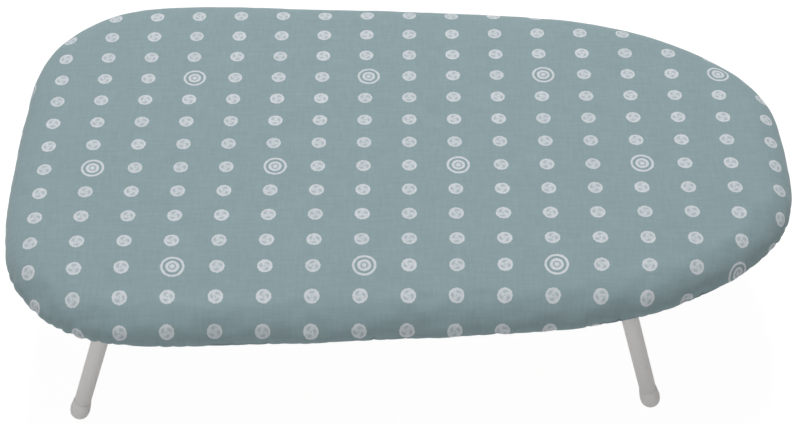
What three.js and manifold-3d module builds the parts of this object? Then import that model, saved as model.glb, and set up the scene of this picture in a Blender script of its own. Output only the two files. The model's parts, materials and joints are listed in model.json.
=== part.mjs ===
// A tabletop ironing board: a padded, cloth-covered steel mesh top on two folding leg frames.
// Millimetres. X runs from the tail to the nose, Y from the near side to the far side, Z up from the table.
import * as THREE from 'three';
import { mergeVertices } from 'three/addons/utils/BufferGeometryUtils.js';
import Module from 'manifold-3d';

const wasm = await Module();
wasm.setup();

// Board
const boardLength = 600;
const boardWidth = 351;
const boardHeight = 170;

// Half of the outline, from the middle of the tail to the tip of the nose: the control points of a
// closed smooth curve, as shares of half the length and half the width
const outlineShares = [
  [-1.002, 0], [-0.996, 0.339], [-0.985, 0.64], [-0.857, 0.902], [-0.679, 1.017], [-0.238, 0.987],
  [0.191, 0.947], [0.537, 0.905], [0.752, 0.741], [0.916, 0.52], [1, 0.287], [1, 0],
];
const outlineSpanSteps = 3;

// Fits
const seatGap = 0.3;
const runningGap = 0.35;
const cutOverrun = 5;
const mergeTolerance = 0.0001;

// Cover: cloth that droops over the edge, tucks under the rim and ends in a turned-up hem
const coverSkin = 1;
const nearDroopReach = 58;
const farDroopReach = 36;
const droopDepth = 22;
const droopShares = [0, 0.4, 0.7, 1];
const tuckReach = 8;
const tuckShares = [[0.3, 0.72], [1, 1]];
const lipReach = 27;
const lipSag = 1.7;
const hemShares = [0, 0.5, 1];
const elasticDiameter = 2;
const elasticSides = 5;

// Pad: felted foam that lies on the mesh and wraps the outside of the rim
const padThickness = 9.4;
const padOverhang = 8.4;
const padWrapStart = THREE.MathUtils.degToRad(20);
const padWrapSteps = 3;
const padStepClearance = 0.5;

// Mesh top: steel sheet with diamond openings inside a plain border
const meshThickness = 1.2;
const meshBorder = 10;
const diamondPitchX = 56;
const diamondPitchY = 26;
const strandWidth = 3;

// Rim: one ring of bent tube under the edge of the mesh
const rimDiameter = 12;
const rimSides = 10;

// Cross channels, webs down, with their flanges against the mesh
const channelHeight = 11;
const channelWall = 1.5;
const channelHeadGap = 0.65;

// Leg frames: bent tube, with a crossbar that turns in two bearings
const legDiameter = 13;
const tailPivotInset = 84;
const nosePivotInset = 134;
const tailLegInset = 39;
const noseLegInset = 33;
const tailSplay = THREE.MathUtils.degToRad(16.7);
const noseSplay = THREE.MathUtils.degToRad(15);
const tubeWall = 1.2;
const bendRadius = 26;
const bendSteps = 6;
const tubeSides = 12;

// Foot caps: round-ended sleeves with a small flat to stand on
const capDiameter = 15.2;
const capSleeve = 14;
const capFloor = 1.2;
const capBevel = 0.5;
const capFlat = 0.5;
const capSides = 12;
const capRoundSteps = 4;

// Bearings: a moulded block over each end of a crossbar, and a saddle strap under it
const blockHeight = 16.2;
const blockLength = 20;
const blockEndPlay = 2;
const strapThickness = 1.5;
const strapLength = 16;
const grooveSteps = 8;

// Rivets: through strap, block and channel, one on each side of the strap's saddle
const rivetDiameter = 4;
const rivetHoleDiameter = 4.6;
const rivetHeadDiameter = 6.7;
const rivetHeadHeight = 1.8;
const rivetCrownShare = 0.5;
const rivetSides = 8;
const holeSides = 10;

// Stops: bent plates under the channel that the opened legs lean against
const stopThickness = 1.5;
const stopWidth = 8;
const stopInset = 8;
const stopDepth = 18;

// Heights
const padTop = boardHeight - coverSkin - seatGap;
const padBottom = padTop - padThickness;
const meshTop = padBottom - seatGap;
const meshBottom = meshTop - meshThickness;
const rimRadius = rimDiameter / 2;
const rimHeight = meshBottom - seatGap - rimRadius;
const lipTop = rimHeight - rimRadius - seatGap;
const lipBottom = lipTop - coverSkin;
const channelTop = meshBottom - seatGap;
const channelBottom = channelTop - channelHeight;
const blockTop = channelBottom - seatGap;
const pivotHeight = blockTop - blockHeight;

// Widths at a bearing
const legRadius = legDiameter / 2;
const grooveRadius = legRadius + runningGap;
const saddleRadius = grooveRadius + strapThickness;
const rivetSpacing = 2 * (saddleRadius + seatGap) + rivetHeadDiameter;
const channelWidth = rivetSpacing + rivetHeadDiameter + 2 * (channelWall + channelHeadGap);

// Insets from the outline
const rimInset = coverSkin + seatGap + padOverhang + seatGap + rimRadius;
const rimInnerInset = rimInset + rimRadius;
const elasticRadius = elasticDiameter / 2;
const hemRadius = elasticRadius + seatGap + coverSkin;
const hemHeight = lipBottom - lipSag + hemRadius;

const materials = {
  cloth: new THREE.MeshStandardMaterial({ color: 0x8ba1a3, roughness: 0.9, metalness: 0 }),
  felt: new THREE.MeshStandardMaterial({ color: 0xd8d4cb, roughness: 1, metalness: 0 }),
  elastic: new THREE.MeshStandardMaterial({ color: 0xe6e3dc, roughness: 0.8, metalness: 0 }),
  coatedSteel: new THREE.MeshStandardMaterial({ color: 0xc9c4c0, roughness: 0.45, metalness: 0.1 }),
  zincSteel: new THREE.MeshStandardMaterial({ color: 0xb4b6b8, roughness: 0.35, metalness: 0.9 }),
  plastic: new THREE.MeshStandardMaterial({ color: 0xc4c0bc, roughness: 0.55, metalness: 0 }),
};

// The weights of four successive control points part way along a span, for a place and a direction
function placeWeights(t) {
  return [(1 - t) ** 3, 3 * t ** 3 - 6 * t ** 2 + 4, 3 * (t + t ** 2 - t ** 3) + 1, t ** 3];
}
function directionWeights(t) {
  return [-((1 - t) ** 2), 3 * t ** 2 - 4 * t, 1 + 2 * t - 3 * t ** 2, t ** 2];
}

// The outline as stations: a point of the edge and the outward direction there, counter-clockwise
function makeStations() {
  const half = outlineShares.map(([x, y]) => new THREE.Vector2(x * boardLength / 2, y * boardWidth / 2));
  const near = half.map((p) => new THREE.Vector2(p.x, -p.y));
  const far = half.slice(1, -1).reverse();
  const controls = [...near, ...far];
  const blend = (weights, first) => {
    const sum = new THREE.Vector2();
    weights.forEach((w, k) => sum.addScaledVector(controls[(first + k) % controls.length], w / 6));
    return sum;
  };
  const stations = [];
  for (let span = 0; span < controls.length; span++) {
    for (let step = 0; step < outlineSpanSteps; step++) {
      const t = step / outlineSpanSteps;
      const point = blend(placeWeights(t), span);
      const along = blend(directionWeights(t), span);
      stations.push({ point, outward: new THREE.Vector2(along.y, -along.x).normalize() });
    }
  }
  return stations;
}
const stations = makeStations();

// A place at a given inset and height beside one station
function placeAt({ point, outward }, inset, height) {
  return new THREE.Vector3(point.x - outward.x * inset, point.y - outward.y * inset, height);
}

// How far a point lies inside the outline
function insetOf(x, y) {
  const depths = stations.map(({ point }, k) => {
    const next = stations[(k + 1) % stations.length].point;
    const edge = next.clone().sub(point).normalize();
    return (point.x - x) * edge.y - (point.y - y) * edge.x;
  });
  return Math.min(...depths);
}

// Half the width of the board at a given place along it
function halfWidthAt(x) {
  let halfWidth = 0;
  stations.forEach(({ point }, k) => {
    const next = stations[(k + 1) % stations.length].point;
    if ((point.x - x) * (next.x - x) > 0 || point.x === next.x) return;
    const t = (x - point.x) / (next.x - point.x);
    halfWidth = Math.max(halfWidth, point.y + t * (next.y - point.y));
  });
  return halfWidth;
}

// A closed solid from loops of points: the first and last loop are joined, or each is filled
function solidFromLoops(loops, joined) {
  const count = loops[0].length;
  const positions = loops.flat().flatMap((p) => [p.x, p.y, p.z]);
  const faces = [];
  const strips = joined ? loops.length : loops.length - 1;
  for (let row = 0; row < strips; row++) {
    const upper = ((row + 1) % loops.length) * count;
    for (let k = 0; k < count; k++) {
      const next = (k + 1) % count;
      const a = row * count + k;
      const b = row * count + next;
      faces.push(a, b, upper + next, a, upper + next, upper + k);
    }
  }
  if (!joined) {
    const flat = (loop) => loop.map((p) => new THREE.Vector2(p.x, p.y));
    const fill = (loop) => THREE.ShapeUtils.triangulateShape(flat(loop), []);
    const last = (loops.length - 1) * count;
    fill(loops[0]).forEach(([a, b, c]) => faces.push(a, c, b));
    fill(loops.at(-1)).forEach(([a, b, c]) => faces.push(last + a, last + b, last + c));
  }
  const geometry = new THREE.BufferGeometry();
  geometry.setAttribute('position', new THREE.Float32BufferAttribute(positions, 3));
  geometry.setIndex(faces);
  return faceOutward(geometry);
}

// Turns the faces over if they point in
function faceOutward(geometry) {
  const position = geometry.getAttribute('position');
  const index = geometry.getIndex().array;
  const corner = (k) => new THREE.Vector3().fromBufferAttribute(position, index[k]);
  let volume = 0;
  for (let k = 0; k < index.length; k += 3) {
    volume += corner(k).dot(corner(k + 1).cross(corner(k + 2)));
  }
  if (volume < 0) index.reverse();
  geometry.computeVertexNormals();
  return geometry;
}

// A profile of insets and heights carried round the outline
function aroundEdge(profileAt, joined) {
  const profiles = stations.map((station) => profileAt(station));
  const loops = profiles[0].map((_, row) => {
    return stations.map((station, k) => placeAt(station, ...profiles[k][row]));
  });
  return solidFromLoops(loops, joined);
}

// A round section of the profile
function ringSection(inset, height, radius, sides) {
  return Array.from({ length: sides }, (_, k) => {
    const angle = Math.PI / 2 + 2 * Math.PI * k / sides;
    return [inset + radius * Math.cos(angle), height + radius * Math.sin(angle)];
  });
}

// Moves an open profile towards its inner side, corners mitred
function offsetProfile(profile, distance) {
  const sideOf = (a, b) => {
    const length = Math.hypot(b[0] - a[0], b[1] - a[1]);
    return new THREE.Vector2((a[1] - b[1]) / length, (b[0] - a[0]) / length);
  };
  return profile.map(([inset, height], k) => {
    const before = k > 0 ? sideOf(profile[k - 1], profile[k]) : sideOf(profile[k], profile[k + 1]);
    const after = k < profile.length - 1 ? sideOf(profile[k], profile[k + 1]) : before;
    const middle = before.clone().add(after).normalize();
    const reach = distance / middle.dot(before);
    return [inset + middle.x * reach, height + middle.y * reach];
  });
}

// The droop of the cover from its flat top to its widest line, with a level start
function droopProfile({ outward }) {
  const reach = THREE.MathUtils.lerp(nearDroopReach, farDroopReach, (outward.y + 1) / 2);
  return droopShares.map((share) => {
    const angle = share * Math.PI / 2;
    return [reach * (1 - Math.sin(angle)), boardHeight - droopDepth * (1 - Math.cos(angle))];
  });
}

// The outer face of the cover, from its flat top to the end of its hem
function coverProfile(station) {
  const widest = boardHeight - droopDepth;
  const tuckDrop = widest - lipBottom;
  const tuck = tuckShares.map(([inward, down]) => [inward * tuckReach, widest - down * tuckDrop]);
  const hem = hemShares.map((share) => {
    const angle = share * Math.PI / 2;
    return [lipReach + hemRadius * Math.sin(angle), hemHeight - hemRadius * Math.cos(angle)];
  });
  return [...droopProfile(station), ...tuck, ...hem];
}

function makeCover() {
  const geometry = aroundEdge((station) => {
    const outer = coverProfile(station);
    const inner = offsetProfile(outer, coverSkin);
    inner[0][1] = boardHeight - coverSkin;
    return [...inner, ...outer.reverse()];
  }, false);
  return named('cover', geometry, materials.cloth);
}

function makePad() {
  const wrapStep = (Math.PI / 2 - padWrapStart) / padWrapSteps;
  const wrapRadius = (rimRadius + seatGap) / Math.cos(wrapStep / 2);
  const geometry = aroundEdge((station) => {
    const outer = offsetProfile(coverProfile(station), coverSkin + seatGap).slice(0, droopShares.length);
    outer[0][1] = padTop;
    const edgeHeight = outer.at(-1)[1];
    const under = [[rimInset - padStepClearance, padBottom]];
    for (let step = 0; step <= padWrapSteps; step++) {
      const angle = padWrapStart + step * wrapStep;
      under.push([rimInset - wrapRadius * Math.sin(angle), rimHeight + wrapRadius * Math.cos(angle)]);
    }
    under.push([rimInset - wrapRadius, edgeHeight]);
    return [...under, ...outer.reverse()];
  }, false);
  return named('pad', geometry, materials.felt);
}

function makeElastic() {
  const section = ringSection(lipReach, hemHeight, elasticRadius, elasticSides);
  return named('hem_elastic', aroundEdge(() => section, true), materials.elastic);
}

function makeRim() {
  const section = ringSection(rimInset, rimHeight, rimRadius, rimSides);
  return named('rim_tube', aroundEdge(() => section, true), materials.coatedSteel);
}

// The outline moved in, as a flat shape
function insetShape(inset) {
  return new THREE.Shape(stations.map((station) => {
    const place = placeAt(station, inset, 0);
    return new THREE.Vector2(place.x, place.y);
  }));
}

function makeMesh() {
  const diamonds = [];
  const halfX = (diamondPitchX - strandWidth * 2) / 2;
  const halfY = halfX * diamondPitchY / diamondPitchX;
  const clear = rimInset + meshBorder;
  const columns = Math.ceil(boardLength / diamondPitchX);
  const rows = Math.ceil(boardWidth / diamondPitchY) * 2;
  for (let row = -rows; row <= rows; row++) {
    for (let column = -columns; column <= columns; column++) {
      const x = (column + (row % 2 === 0 ? 0 : 0.5)) * diamondPitchX;
      const y = row * diamondPitchY / 2;
      const corners = [[x - halfX, y], [x, y - halfY], [x + halfX, y], [x, y + halfY]];
      if (corners.some((corner) => insetOf(...corner) < clear)) continue;
      diamonds.push(new THREE.Shape(corners.map((corner) => new THREE.Vector2(...corner))));
    }
  }
  const sheet = toSolid(raised(insetShape(rimInset), meshThickness));
  const cutters = raised(diamonds, meshThickness + 2 * cutOverrun);
  cutters.translate(0, 0, -cutOverrun);
  const mesh = named('mesh_top', toGeometry(sheet.subtract(toSolid(cutters))), materials.coatedSteel);
  mesh.position.z = meshBottom;
  return mesh;
}

// A flat shape, or several, given a height
function raised(shapes, depth, curveSegments) {
  return new THREE.ExtrudeGeometry(shapes, { depth, bevelEnabled: false, curveSegments });
}

// A geometry as a solid for cutting, and back
function toSolid(geometry) {
  const bare = geometry.index ? geometry.toNonIndexed() : geometry.clone();
  bare.deleteAttribute('normal');
  bare.deleteAttribute('uv');
  const merged = mergeVertices(bare, mergeTolerance);
  const vertProperties = new Float32Array(merged.getAttribute('position').array);
  const triVerts = new Uint32Array(merged.getIndex().array);
  return new wasm.Manifold(new wasm.Mesh({ numProp: 3, vertProperties, triVerts }));
}
function toGeometry(solid) {
  const { vertProperties, triVerts } = solid.getMesh();
  const geometry = new THREE.BufferGeometry();
  geometry.setAttribute('position', new THREE.Float32BufferAttribute(vertProperties, 3));
  geometry.setIndex(Array.from(triVerts));
  geometry.computeVertexNormals();
  return geometry;
}

// A flat profile in X and Z, carried along Y and centred there
function alongY(shape, length, curveSegments) {
  const geometry = raised(shape, length, curveSegments);
  geometry.rotateX(Math.PI / 2);
  geometry.translate(0, length / 2, 0);
  return geometry;
}

// An upright hole cutter between two heights
function holeCutter(x, y, bottom, top) {
  const height = top - bottom + 2 * cutOverrun;
  const cutter = new THREE.CylinderGeometry(rivetHoleDiameter / 2, rivetHoleDiameter / 2, height, holeSides);
  cutter.rotateX(Math.PI / 2);
  cutter.translate(x, y, (top + bottom) / 2);
  return toSolid(cutter);
}

function named(name, geometry, material) {
  const mesh = new THREE.Mesh(geometry, material);
  mesh.name = name;
  return mesh;
}

// Where the bearings of one leg frame sit along its crossbar
function bearingPlace(halfSpacing) {
  return halfSpacing - bendRadius - blockEndPlay - blockLength / 2;
}

function makeChannel(name, pivotX, halfSpacing) {
  const halfWidth = channelWidth / 2;
  const innerHalf = halfWidth - channelWall;
  const profile = new THREE.Shape([
    [-halfWidth, 0], [halfWidth, 0], [halfWidth, channelHeight], [innerHalf, channelHeight],
    [innerHalf, channelWall], [-innerHalf, channelWall],
    [-innerHalf, channelHeight], [-halfWidth, channelHeight],
  ].map((corner) => new THREE.Vector2(...corner)));
  const bar = alongY(profile, boardWidth);
  bar.translate(pivotX, 0, channelBottom);
  const insideRim = raised(insetShape(rimInnerInset + seatGap), channelHeight + 2 * cutOverrun);
  insideRim.translate(0, 0, channelBottom - cutOverrun);
  let solid = toSolid(bar).intersect(toSolid(insideRim));
  for (const side of [-1, 1]) {
    for (const end of [-1, 1]) {
      const x = pivotX + end * rivetSpacing / 2;
      const y = side * bearingPlace(halfSpacing);
      solid = solid.subtract(holeCutter(x, y, channelBottom, channelBottom + channelWall));
    }
  }
  return named(name, toGeometry(solid), materials.coatedSteel);
}

// Cuts the two rivet holes of a bearing piece, which stands on its own origin at the pivot
function withRivetHoles(geometry, bottom, top) {
  let solid = toSolid(geometry);
  for (const end of [-1, 1]) {
    solid = solid.subtract(holeCutter(end * rivetSpacing / 2, 0, bottom, top));
  }
  return toGeometry(solid);
}

function makeBlock(name) {
  const halfWidth = channelWidth / 2;
  const profile = new THREE.Shape();
  profile.moveTo(halfWidth, 0);
  profile.lineTo(halfWidth, blockHeight);
  profile.lineTo(-halfWidth, blockHeight);
  profile.lineTo(-halfWidth, 0);
  profile.lineTo(-grooveRadius, 0);
  profile.absarc(0, 0, grooveRadius, Math.PI, 0, true);
  const block = alongY(profile, blockLength, grooveSteps);
  return named(name, withRivetHoles(block, 0, blockHeight), materials.plastic);
}

function makeStrap(name) {
  const halfWidth = channelWidth / 2;
  const flangeTop = -seatGap;
  const flangeBottom = flangeTop - strapThickness;
  const innerAngle = Math.asin(seatGap / grooveRadius);
  const outerAngle = Math.asin((seatGap + strapThickness) / saddleRadius);
  const profile = new THREE.Shape();
  profile.moveTo(-halfWidth, flangeTop);
  profile.lineTo(-grooveRadius * Math.cos(innerAngle), flangeTop);
  profile.absarc(0, 0, grooveRadius, Math.PI + innerAngle, 2 * Math.PI - innerAngle, false);
  profile.lineTo(halfWidth, flangeTop);
  profile.lineTo(halfWidth, flangeBottom);
  profile.lineTo(saddleRadius * Math.cos(outerAngle), flangeBottom);
  profile.absarc(0, 0, saddleRadius, -outerAngle, -Math.PI + outerAngle, true);
  profile.lineTo(-halfWidth, flangeBottom);
  const strap = alongY(profile, strapLength, grooveSteps);
  return named(name, withRivetHoles(strap, flangeBottom, flangeTop), materials.zincSteel);
}

function makeRivet(name) {
  const seat = -strapThickness - 2 * seatGap;
  const clinch = blockHeight + channelWall + 2 * seatGap;
  const bottom = seat - rivetHeadHeight;
  const top = clinch + rivetHeadHeight;
  const shankRadius = rivetDiameter / 2;
  const headRadius = rivetHeadDiameter / 2;
  const crownRadius = headRadius * rivetCrownShare;
  const profile = [
    [0, bottom], [crownRadius, bottom], [headRadius, seat], [shankRadius, seat],
    [shankRadius, clinch], [headRadius, clinch], [crownRadius, top], [0, top],
  ].map((corner) => new THREE.Vector2(...corner));
  const geometry = new THREE.LatheGeometry(profile, rivetSides);
  geometry.rotateX(Math.PI / 2);
  return named(name, geometry, materials.zincSteel);
}

// A plate whose down-turned flange lies along the opened leg, on its outer side
function makeStop(name, outwardX, splay) {
  const legFace = (height) => (legRadius + seatGap) / Math.cos(splay) - height * Math.tan(splay);
  const slantThickness = stopThickness / Math.cos(splay);
  const top = blockHeight;
  const under = top - stopThickness;
  const profile = new THREE.Shape([
    [channelWidth / 2, top], [legFace(top), top], [legFace(-stopDepth), -stopDepth],
    [legFace(-stopDepth) + slantThickness, -stopDepth], [legFace(under) + slantThickness, under],
    [channelWidth / 2, under],
  ].map(([x, z]) => new THREE.Vector2(outwardX * x, z)));
  return named(name, alongY(profile, stopWidth), materials.coatedSteel);
}

// One leg frame in its own plane, hanging from its crossbar, with the tube open at both ends
function makeFrame(name, halfSpacing, uprightLength) {
  const straight = halfSpacing - bendRadius;
  const line = [{ y: halfSpacing, z: -uprightLength, turn: Math.PI / 2 }];
  for (let step = 0; step <= bendSteps; step++) {
    const turn = Math.PI / 2 * (1 - step / bendSteps);
    line.push({ y: straight + bendRadius * Math.sin(turn), z: bendRadius * (Math.cos(turn) - 1), turn });
  }
  const mirrored = line.map(({ y, z, turn }) => ({ y: -y, z, turn: -turn })).reverse();
  const path = [...line, ...mirrored];
  const section = ({ y, z, turn }, radius) => Array.from({ length: tubeSides }, (_, k) => {
    const angle = 2 * Math.PI * k / tubeSides;
    const x = radius * Math.cos(angle);
    const across = radius * Math.sin(angle);
    return new THREE.Vector3(x, y + across * Math.sin(turn), z + across * Math.cos(turn));
  });
  const outside = path.map((place) => section(place, legRadius));
  const inside = path.map((place) => section(place, legRadius - tubeWall));
  const geometry = solidFromLoops([...outside, ...inside.reverse()], true);
  return named(name, geometry, materials.coatedSteel);
}

// A foot cap round its own axis, with its round end's centre at the origin
function makeCap(name, floorInCap) {
  const radius = capDiameter / 2;
  const bore = legRadius + seatGap;
  const round = Array.from({ length: capRoundSteps + 1 }, (_, k) => {
    const angle = Math.PI / 2 * k / capRoundSteps;
    return [radius * Math.sin(angle), -radius * Math.cos(angle)];
  });
  const profile = [
    ...round,
    [radius, capSleeve - capBevel], [radius - capBevel, capSleeve],
    [bore, capSleeve], [bore, capFloor], [0, capFloor],
  ].map((corner) => new THREE.Vector2(...corner));
  profile[0].x = 0;
  const geometry = new THREE.LatheGeometry(profile, capSides);
  geometry.rotateX(Math.PI / 2);
  return named(name, toGeometry(toSolid(geometry).subtract(floorInCap)), materials.plastic);
}

// A leg frame with its caps, opened to its splay. outwardX is the side that its feet lean to
function makeLeg(end, pivotX, outwardX, splay, halfSpacing) {
  const leg = new THREE.Group();
  leg.position.set(pivotX, 0, pivotHeight);
  leg.rotation.y = -outwardX * splay;
  const capRadius = capDiameter / 2;
  const capDrop = (pivotHeight - capRadius + capFlat) / Math.cos(splay);
  leg.add(makeFrame(`${end}_leg_frame`, halfSpacing, capDrop - capFloor - seatGap));
  for (const [side, sign] of [['near', -1], ['far', 1]]) {
    const foot = new THREE.Group();
    foot.position.set(0, sign * halfSpacing, -capDrop);
    leg.add(foot);
    leg.updateMatrixWorld(true);
    const floor = new THREE.BoxGeometry(2 * capDiameter, 2 * capDiameter, capDiameter);
    const footPlace = new THREE.Vector3().setFromMatrixPosition(foot.matrixWorld);
    floor.translate(footPlace.x, footPlace.y, -capDiameter / 2);
    floor.applyMatrix4(foot.matrixWorld.clone().invert());
    foot.add(makeCap(`${end}_${side}_foot_cap`, toSolid(floor)));
  }
  return leg;
}

// What holds one leg frame to the board: its channel, bearings, rivets and stops
function makeSupports(end, pivotX, outwardX, splay, halfSpacing) {
  const supports = new THREE.Group();
  supports.add(makeChannel(`${end}_channel`, pivotX, halfSpacing));
  for (const [side, sign] of [['near', -1], ['far', 1]]) {
    const bearing = new THREE.Group();
    bearing.position.set(pivotX, sign * bearingPlace(halfSpacing), pivotHeight);
    bearing.add(makeBlock(`${end}_${side}_bearing_block`));
    bearing.add(makeStrap(`${end}_${side}_saddle_strap`));
    for (const [place, offset] of [['outer', outwardX], ['inner', -outwardX]]) {
      const rivet = makeRivet(`${end}_${side}_${place}_rivet`);
      rivet.position.x = offset * rivetSpacing / 2;
      bearing.add(rivet);
    }
    supports.add(bearing);
    const stop = makeStop(`${end}_${side}_leg_stop`, outwardX, splay);
    stop.position.set(pivotX, sign * (halfSpacing - stopInset), pivotHeight);
    supports.add(stop);
  }
  return supports;
}

const board = new THREE.Group();
board.add(makeCover(), makePad(), makeElastic(), makeMesh(), makeRim());
for (const [end, outwardX, pivotInset, legInset, splay] of [
  ['tail', -1, tailPivotInset, tailLegInset, tailSplay],
  ['nose', 1, nosePivotInset, noseLegInset, noseSplay],
]) {
  const pivotX = outwardX * (boardLength / 2 - pivotInset);
  const halfSpacing = halfWidthAt(pivotX) - legInset;
  board.add(makeSupports(end, pivotX, outwardX, splay, halfSpacing));
  board.add(makeLeg(end, pivotX, outwardX, splay, halfSpacing));
}

export default board;
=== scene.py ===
# A tabletop ironing board: its printed cloth cover, felt pad, steel top and folding legs.
# Metres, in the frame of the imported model: X runs from the tail to the nose, Y from the near side
# to the far side, and Z up from the table.
import json
import math

import bmesh
import bpy
import numpy as np
from mathutils import Matrix, Vector, geometry, noise


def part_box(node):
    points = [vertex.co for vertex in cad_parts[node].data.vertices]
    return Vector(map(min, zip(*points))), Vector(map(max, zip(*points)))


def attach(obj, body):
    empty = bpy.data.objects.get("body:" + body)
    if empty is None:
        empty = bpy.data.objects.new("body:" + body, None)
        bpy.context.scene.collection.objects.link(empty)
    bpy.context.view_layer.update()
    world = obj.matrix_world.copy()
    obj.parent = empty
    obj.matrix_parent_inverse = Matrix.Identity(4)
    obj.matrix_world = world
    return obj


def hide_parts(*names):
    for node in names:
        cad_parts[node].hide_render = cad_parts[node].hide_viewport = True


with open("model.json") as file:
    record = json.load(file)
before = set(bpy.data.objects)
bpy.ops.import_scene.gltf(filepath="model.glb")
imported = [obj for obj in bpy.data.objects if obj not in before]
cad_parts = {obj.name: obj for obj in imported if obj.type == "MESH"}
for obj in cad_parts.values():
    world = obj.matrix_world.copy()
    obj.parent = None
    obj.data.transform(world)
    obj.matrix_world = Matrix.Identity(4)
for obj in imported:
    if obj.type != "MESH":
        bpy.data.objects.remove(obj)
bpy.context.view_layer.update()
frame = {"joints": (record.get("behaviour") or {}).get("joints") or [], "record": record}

MM = 0.001
FULL_TURN = 2 * math.pi
QUARTER_TURN = math.pi / 2


# Camera, at the photograph's angle

PHOTO_WIDTH = 795
FOCAL_PIXELS = 1700
AXIS_PIXEL_X = 340
SENSOR_WIDTH = 36
CAMERA_PLACE = (-0.0178, -0.9194, 1.1063)
CAMERA_RIGHT = (0.99977, 0.01368, -0.01645)
CAMERA_DOWN = (-0.00095, -0.73985, -0.67277)
CAMERA_FORWARD = (-0.02138, 0.67263, -0.73967)


def make_camera():
    """The camera, whose axis meets the picture left of its middle"""
    data = bpy.data.cameras.new("photo_camera")
    data.sensor_fit = "HORIZONTAL"
    data.sensor_width = SENSOR_WIDTH
    data.lens = FOCAL_PIXELS / PHOTO_WIDTH * SENSOR_WIDTH
    data.shift_x = (PHOTO_WIDTH / 2 - AXIS_PIXEL_X) / PHOTO_WIDTH
    data.clip_end = 50
    camera = bpy.data.objects.new("photo_camera", data)
    up = -Vector(CAMERA_DOWN)
    back = -Vector(CAMERA_FORWARD)
    turn = Matrix((CAMERA_RIGHT, up, back)).transposed()
    camera.matrix_world = Matrix.Translation(CAMERA_PLACE) @ turn.to_4x4()
    bpy.context.scene.collection.objects.link(camera)
    bpy.context.scene.camera = camera


make_camera()


# Sizes of the board

BOARD_LOW, BOARD_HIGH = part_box("cover")
BOARD_LENGTH = BOARD_HIGH.x - BOARD_LOW.x
BOARD_TOP = BOARD_HIGH.z
BOARD_WIDTH = 351 * MM

# Half of the outline, from the middle of the tail to the tip of the nose: the control points of a
# closed smooth curve, as shares of half the length and half the width
OUTLINE_SHARES = (
    (-1.002, 0), (-0.996, 0.339), (-0.985, 0.64), (-0.857, 0.902), (-0.679, 1.017), (-0.238, 0.987),
    (0.191, 0.947), (0.537, 0.905), (0.752, 0.741), (0.916, 0.52), (1, 0.287), (1, 0),
)
OUTLINE_SPAN_STEPS = 48
EDGE_STATIONS = 1080

# Cover
CLOTH_THICKNESS = 0.5 * MM
# The top first sinks a little towards the near side
EASE_START = 60 * MM
EASE_END = 18 * MM
EASE_DEPTH = 3.0 * MM
EASE_ROWS = 5
# Then it turns down to the widest line: how far in that starts, how full the shoulder is, where 2 is
# an ellipse, and how deep the widest line lies under the flat top
NEAR_DROOP_REACH = 26 * MM
FAR_DROOP_REACH = 28 * MM
NEAR_SHOULDER = 1.75
FAR_SHOULDER = 2.6
NEAR_DROOP_DEPTH = 24.8 * MM
FAR_DROOP_DEPTH = 22 * MM
DROOP_ROWS = 22
TOP_ROWS = EASE_ROWS + DROOP_ROWS
# How far the padded edge stands out past the outline, by the direction that it faces, in degrees
# counter-clockwise from the nose
BULGES = (
    (-180, 0.4 * MM), (-140, -0.7 * MM), (-100, 0.8 * MM), (-85, -1.4 * MM), (-70, -3.4 * MM),
    (-45, 0), (-20, 0.4 * MM), (20, 1.2 * MM), (45, 4.4 * MM), (62, 0.6 * MM),
    (75, -0.5 * MM), (90, 1.2 * MM), (130, 1.8 * MM), (180, 0.4 * MM),
)
# These are smoothed over this share of the way round, to both sides
BULGE_SMOOTHING = 1 / 24
# From the widest line down and in under the rim: insets, and shares of the way down to the lip
TUCK_POINTS = (
    (0, 0), (0.5 * MM, 0.44), (3.2 * MM, 0.82), (8 * MM, 0.97), (14 * MM, 1.0), (20 * MM, 1.01),
    (25.4 * MM, 1.0), (27 * MM, 1.0),
)
# How deep the lip under the rim lies below the flat top
LIP_DEPTH = 26.75 * MM
TUCK_STEPS = 4
# The hem is rolled round the elastic, whose middle lies here
HEM_INSET = 27 * MM
HEM_HEIGHT = 144.8 * MM
HEM_RADIUS = 1.55 * MM
HEM_TURN = math.radians(265)
HEM_ROWS = 8
# How closely the flat top is filled with points, and how far from its edge that starts
TOP_POINT_SPACING = 6.5 * MM
TOP_POINT_MARGIN = 4 * MM

# Stitches of the hem, and how far each place along one hangs below the cloth, in radii of the thread
STITCH_INSET = 20.5 * MM
STITCH_LENGTH = 2.3 * MM
STITCH_PITCH = 3.3 * MM
STITCH_RADIUS = 0.24 * MM
STITCH_SIDES = 6
STITCH_HANG = (-0.9, 0.5, 0.8, 0.5, -0.9)

# Elastic in the hem
ELASTIC_RADIUS = 1 * MM
ELASTIC_SIDES = 10

# Pad: its underside on the mesh starts a little outside the middle of the rim
PAD_REST = 159.3 * MM
PAD_REST_OUTSET = 0.5 * MM
PAD_SKIN_GAP = 2.5 * MM
PAD_RIM_GAP = 0.35 * MM
PAD_WRAP_START = math.radians(20)
PAD_WRAP_ROWS = 8
PAD_POINT_SPACING = 9 * MM
PAD_POINT_MARGIN = 5 * MM

# Steel top
RIM_INSET = 16 * MM
RIM_RADIUS = 6 * MM
RIM_SIDES = 24
RIM_HEIGHT = 151.5 * MM
MESH_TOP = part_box("mesh_top")[1].z
MESH_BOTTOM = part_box("mesh_top")[0].z
DIAMOND_LENGTH = 28 * MM
DIAMOND_WIDTH = 13 * MM
STRAND = 1.9 * MM
STRAND_CHAMFER = 0.25 * MM
MESH_BORDER = 8 * MM


# Outline of the board

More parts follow.
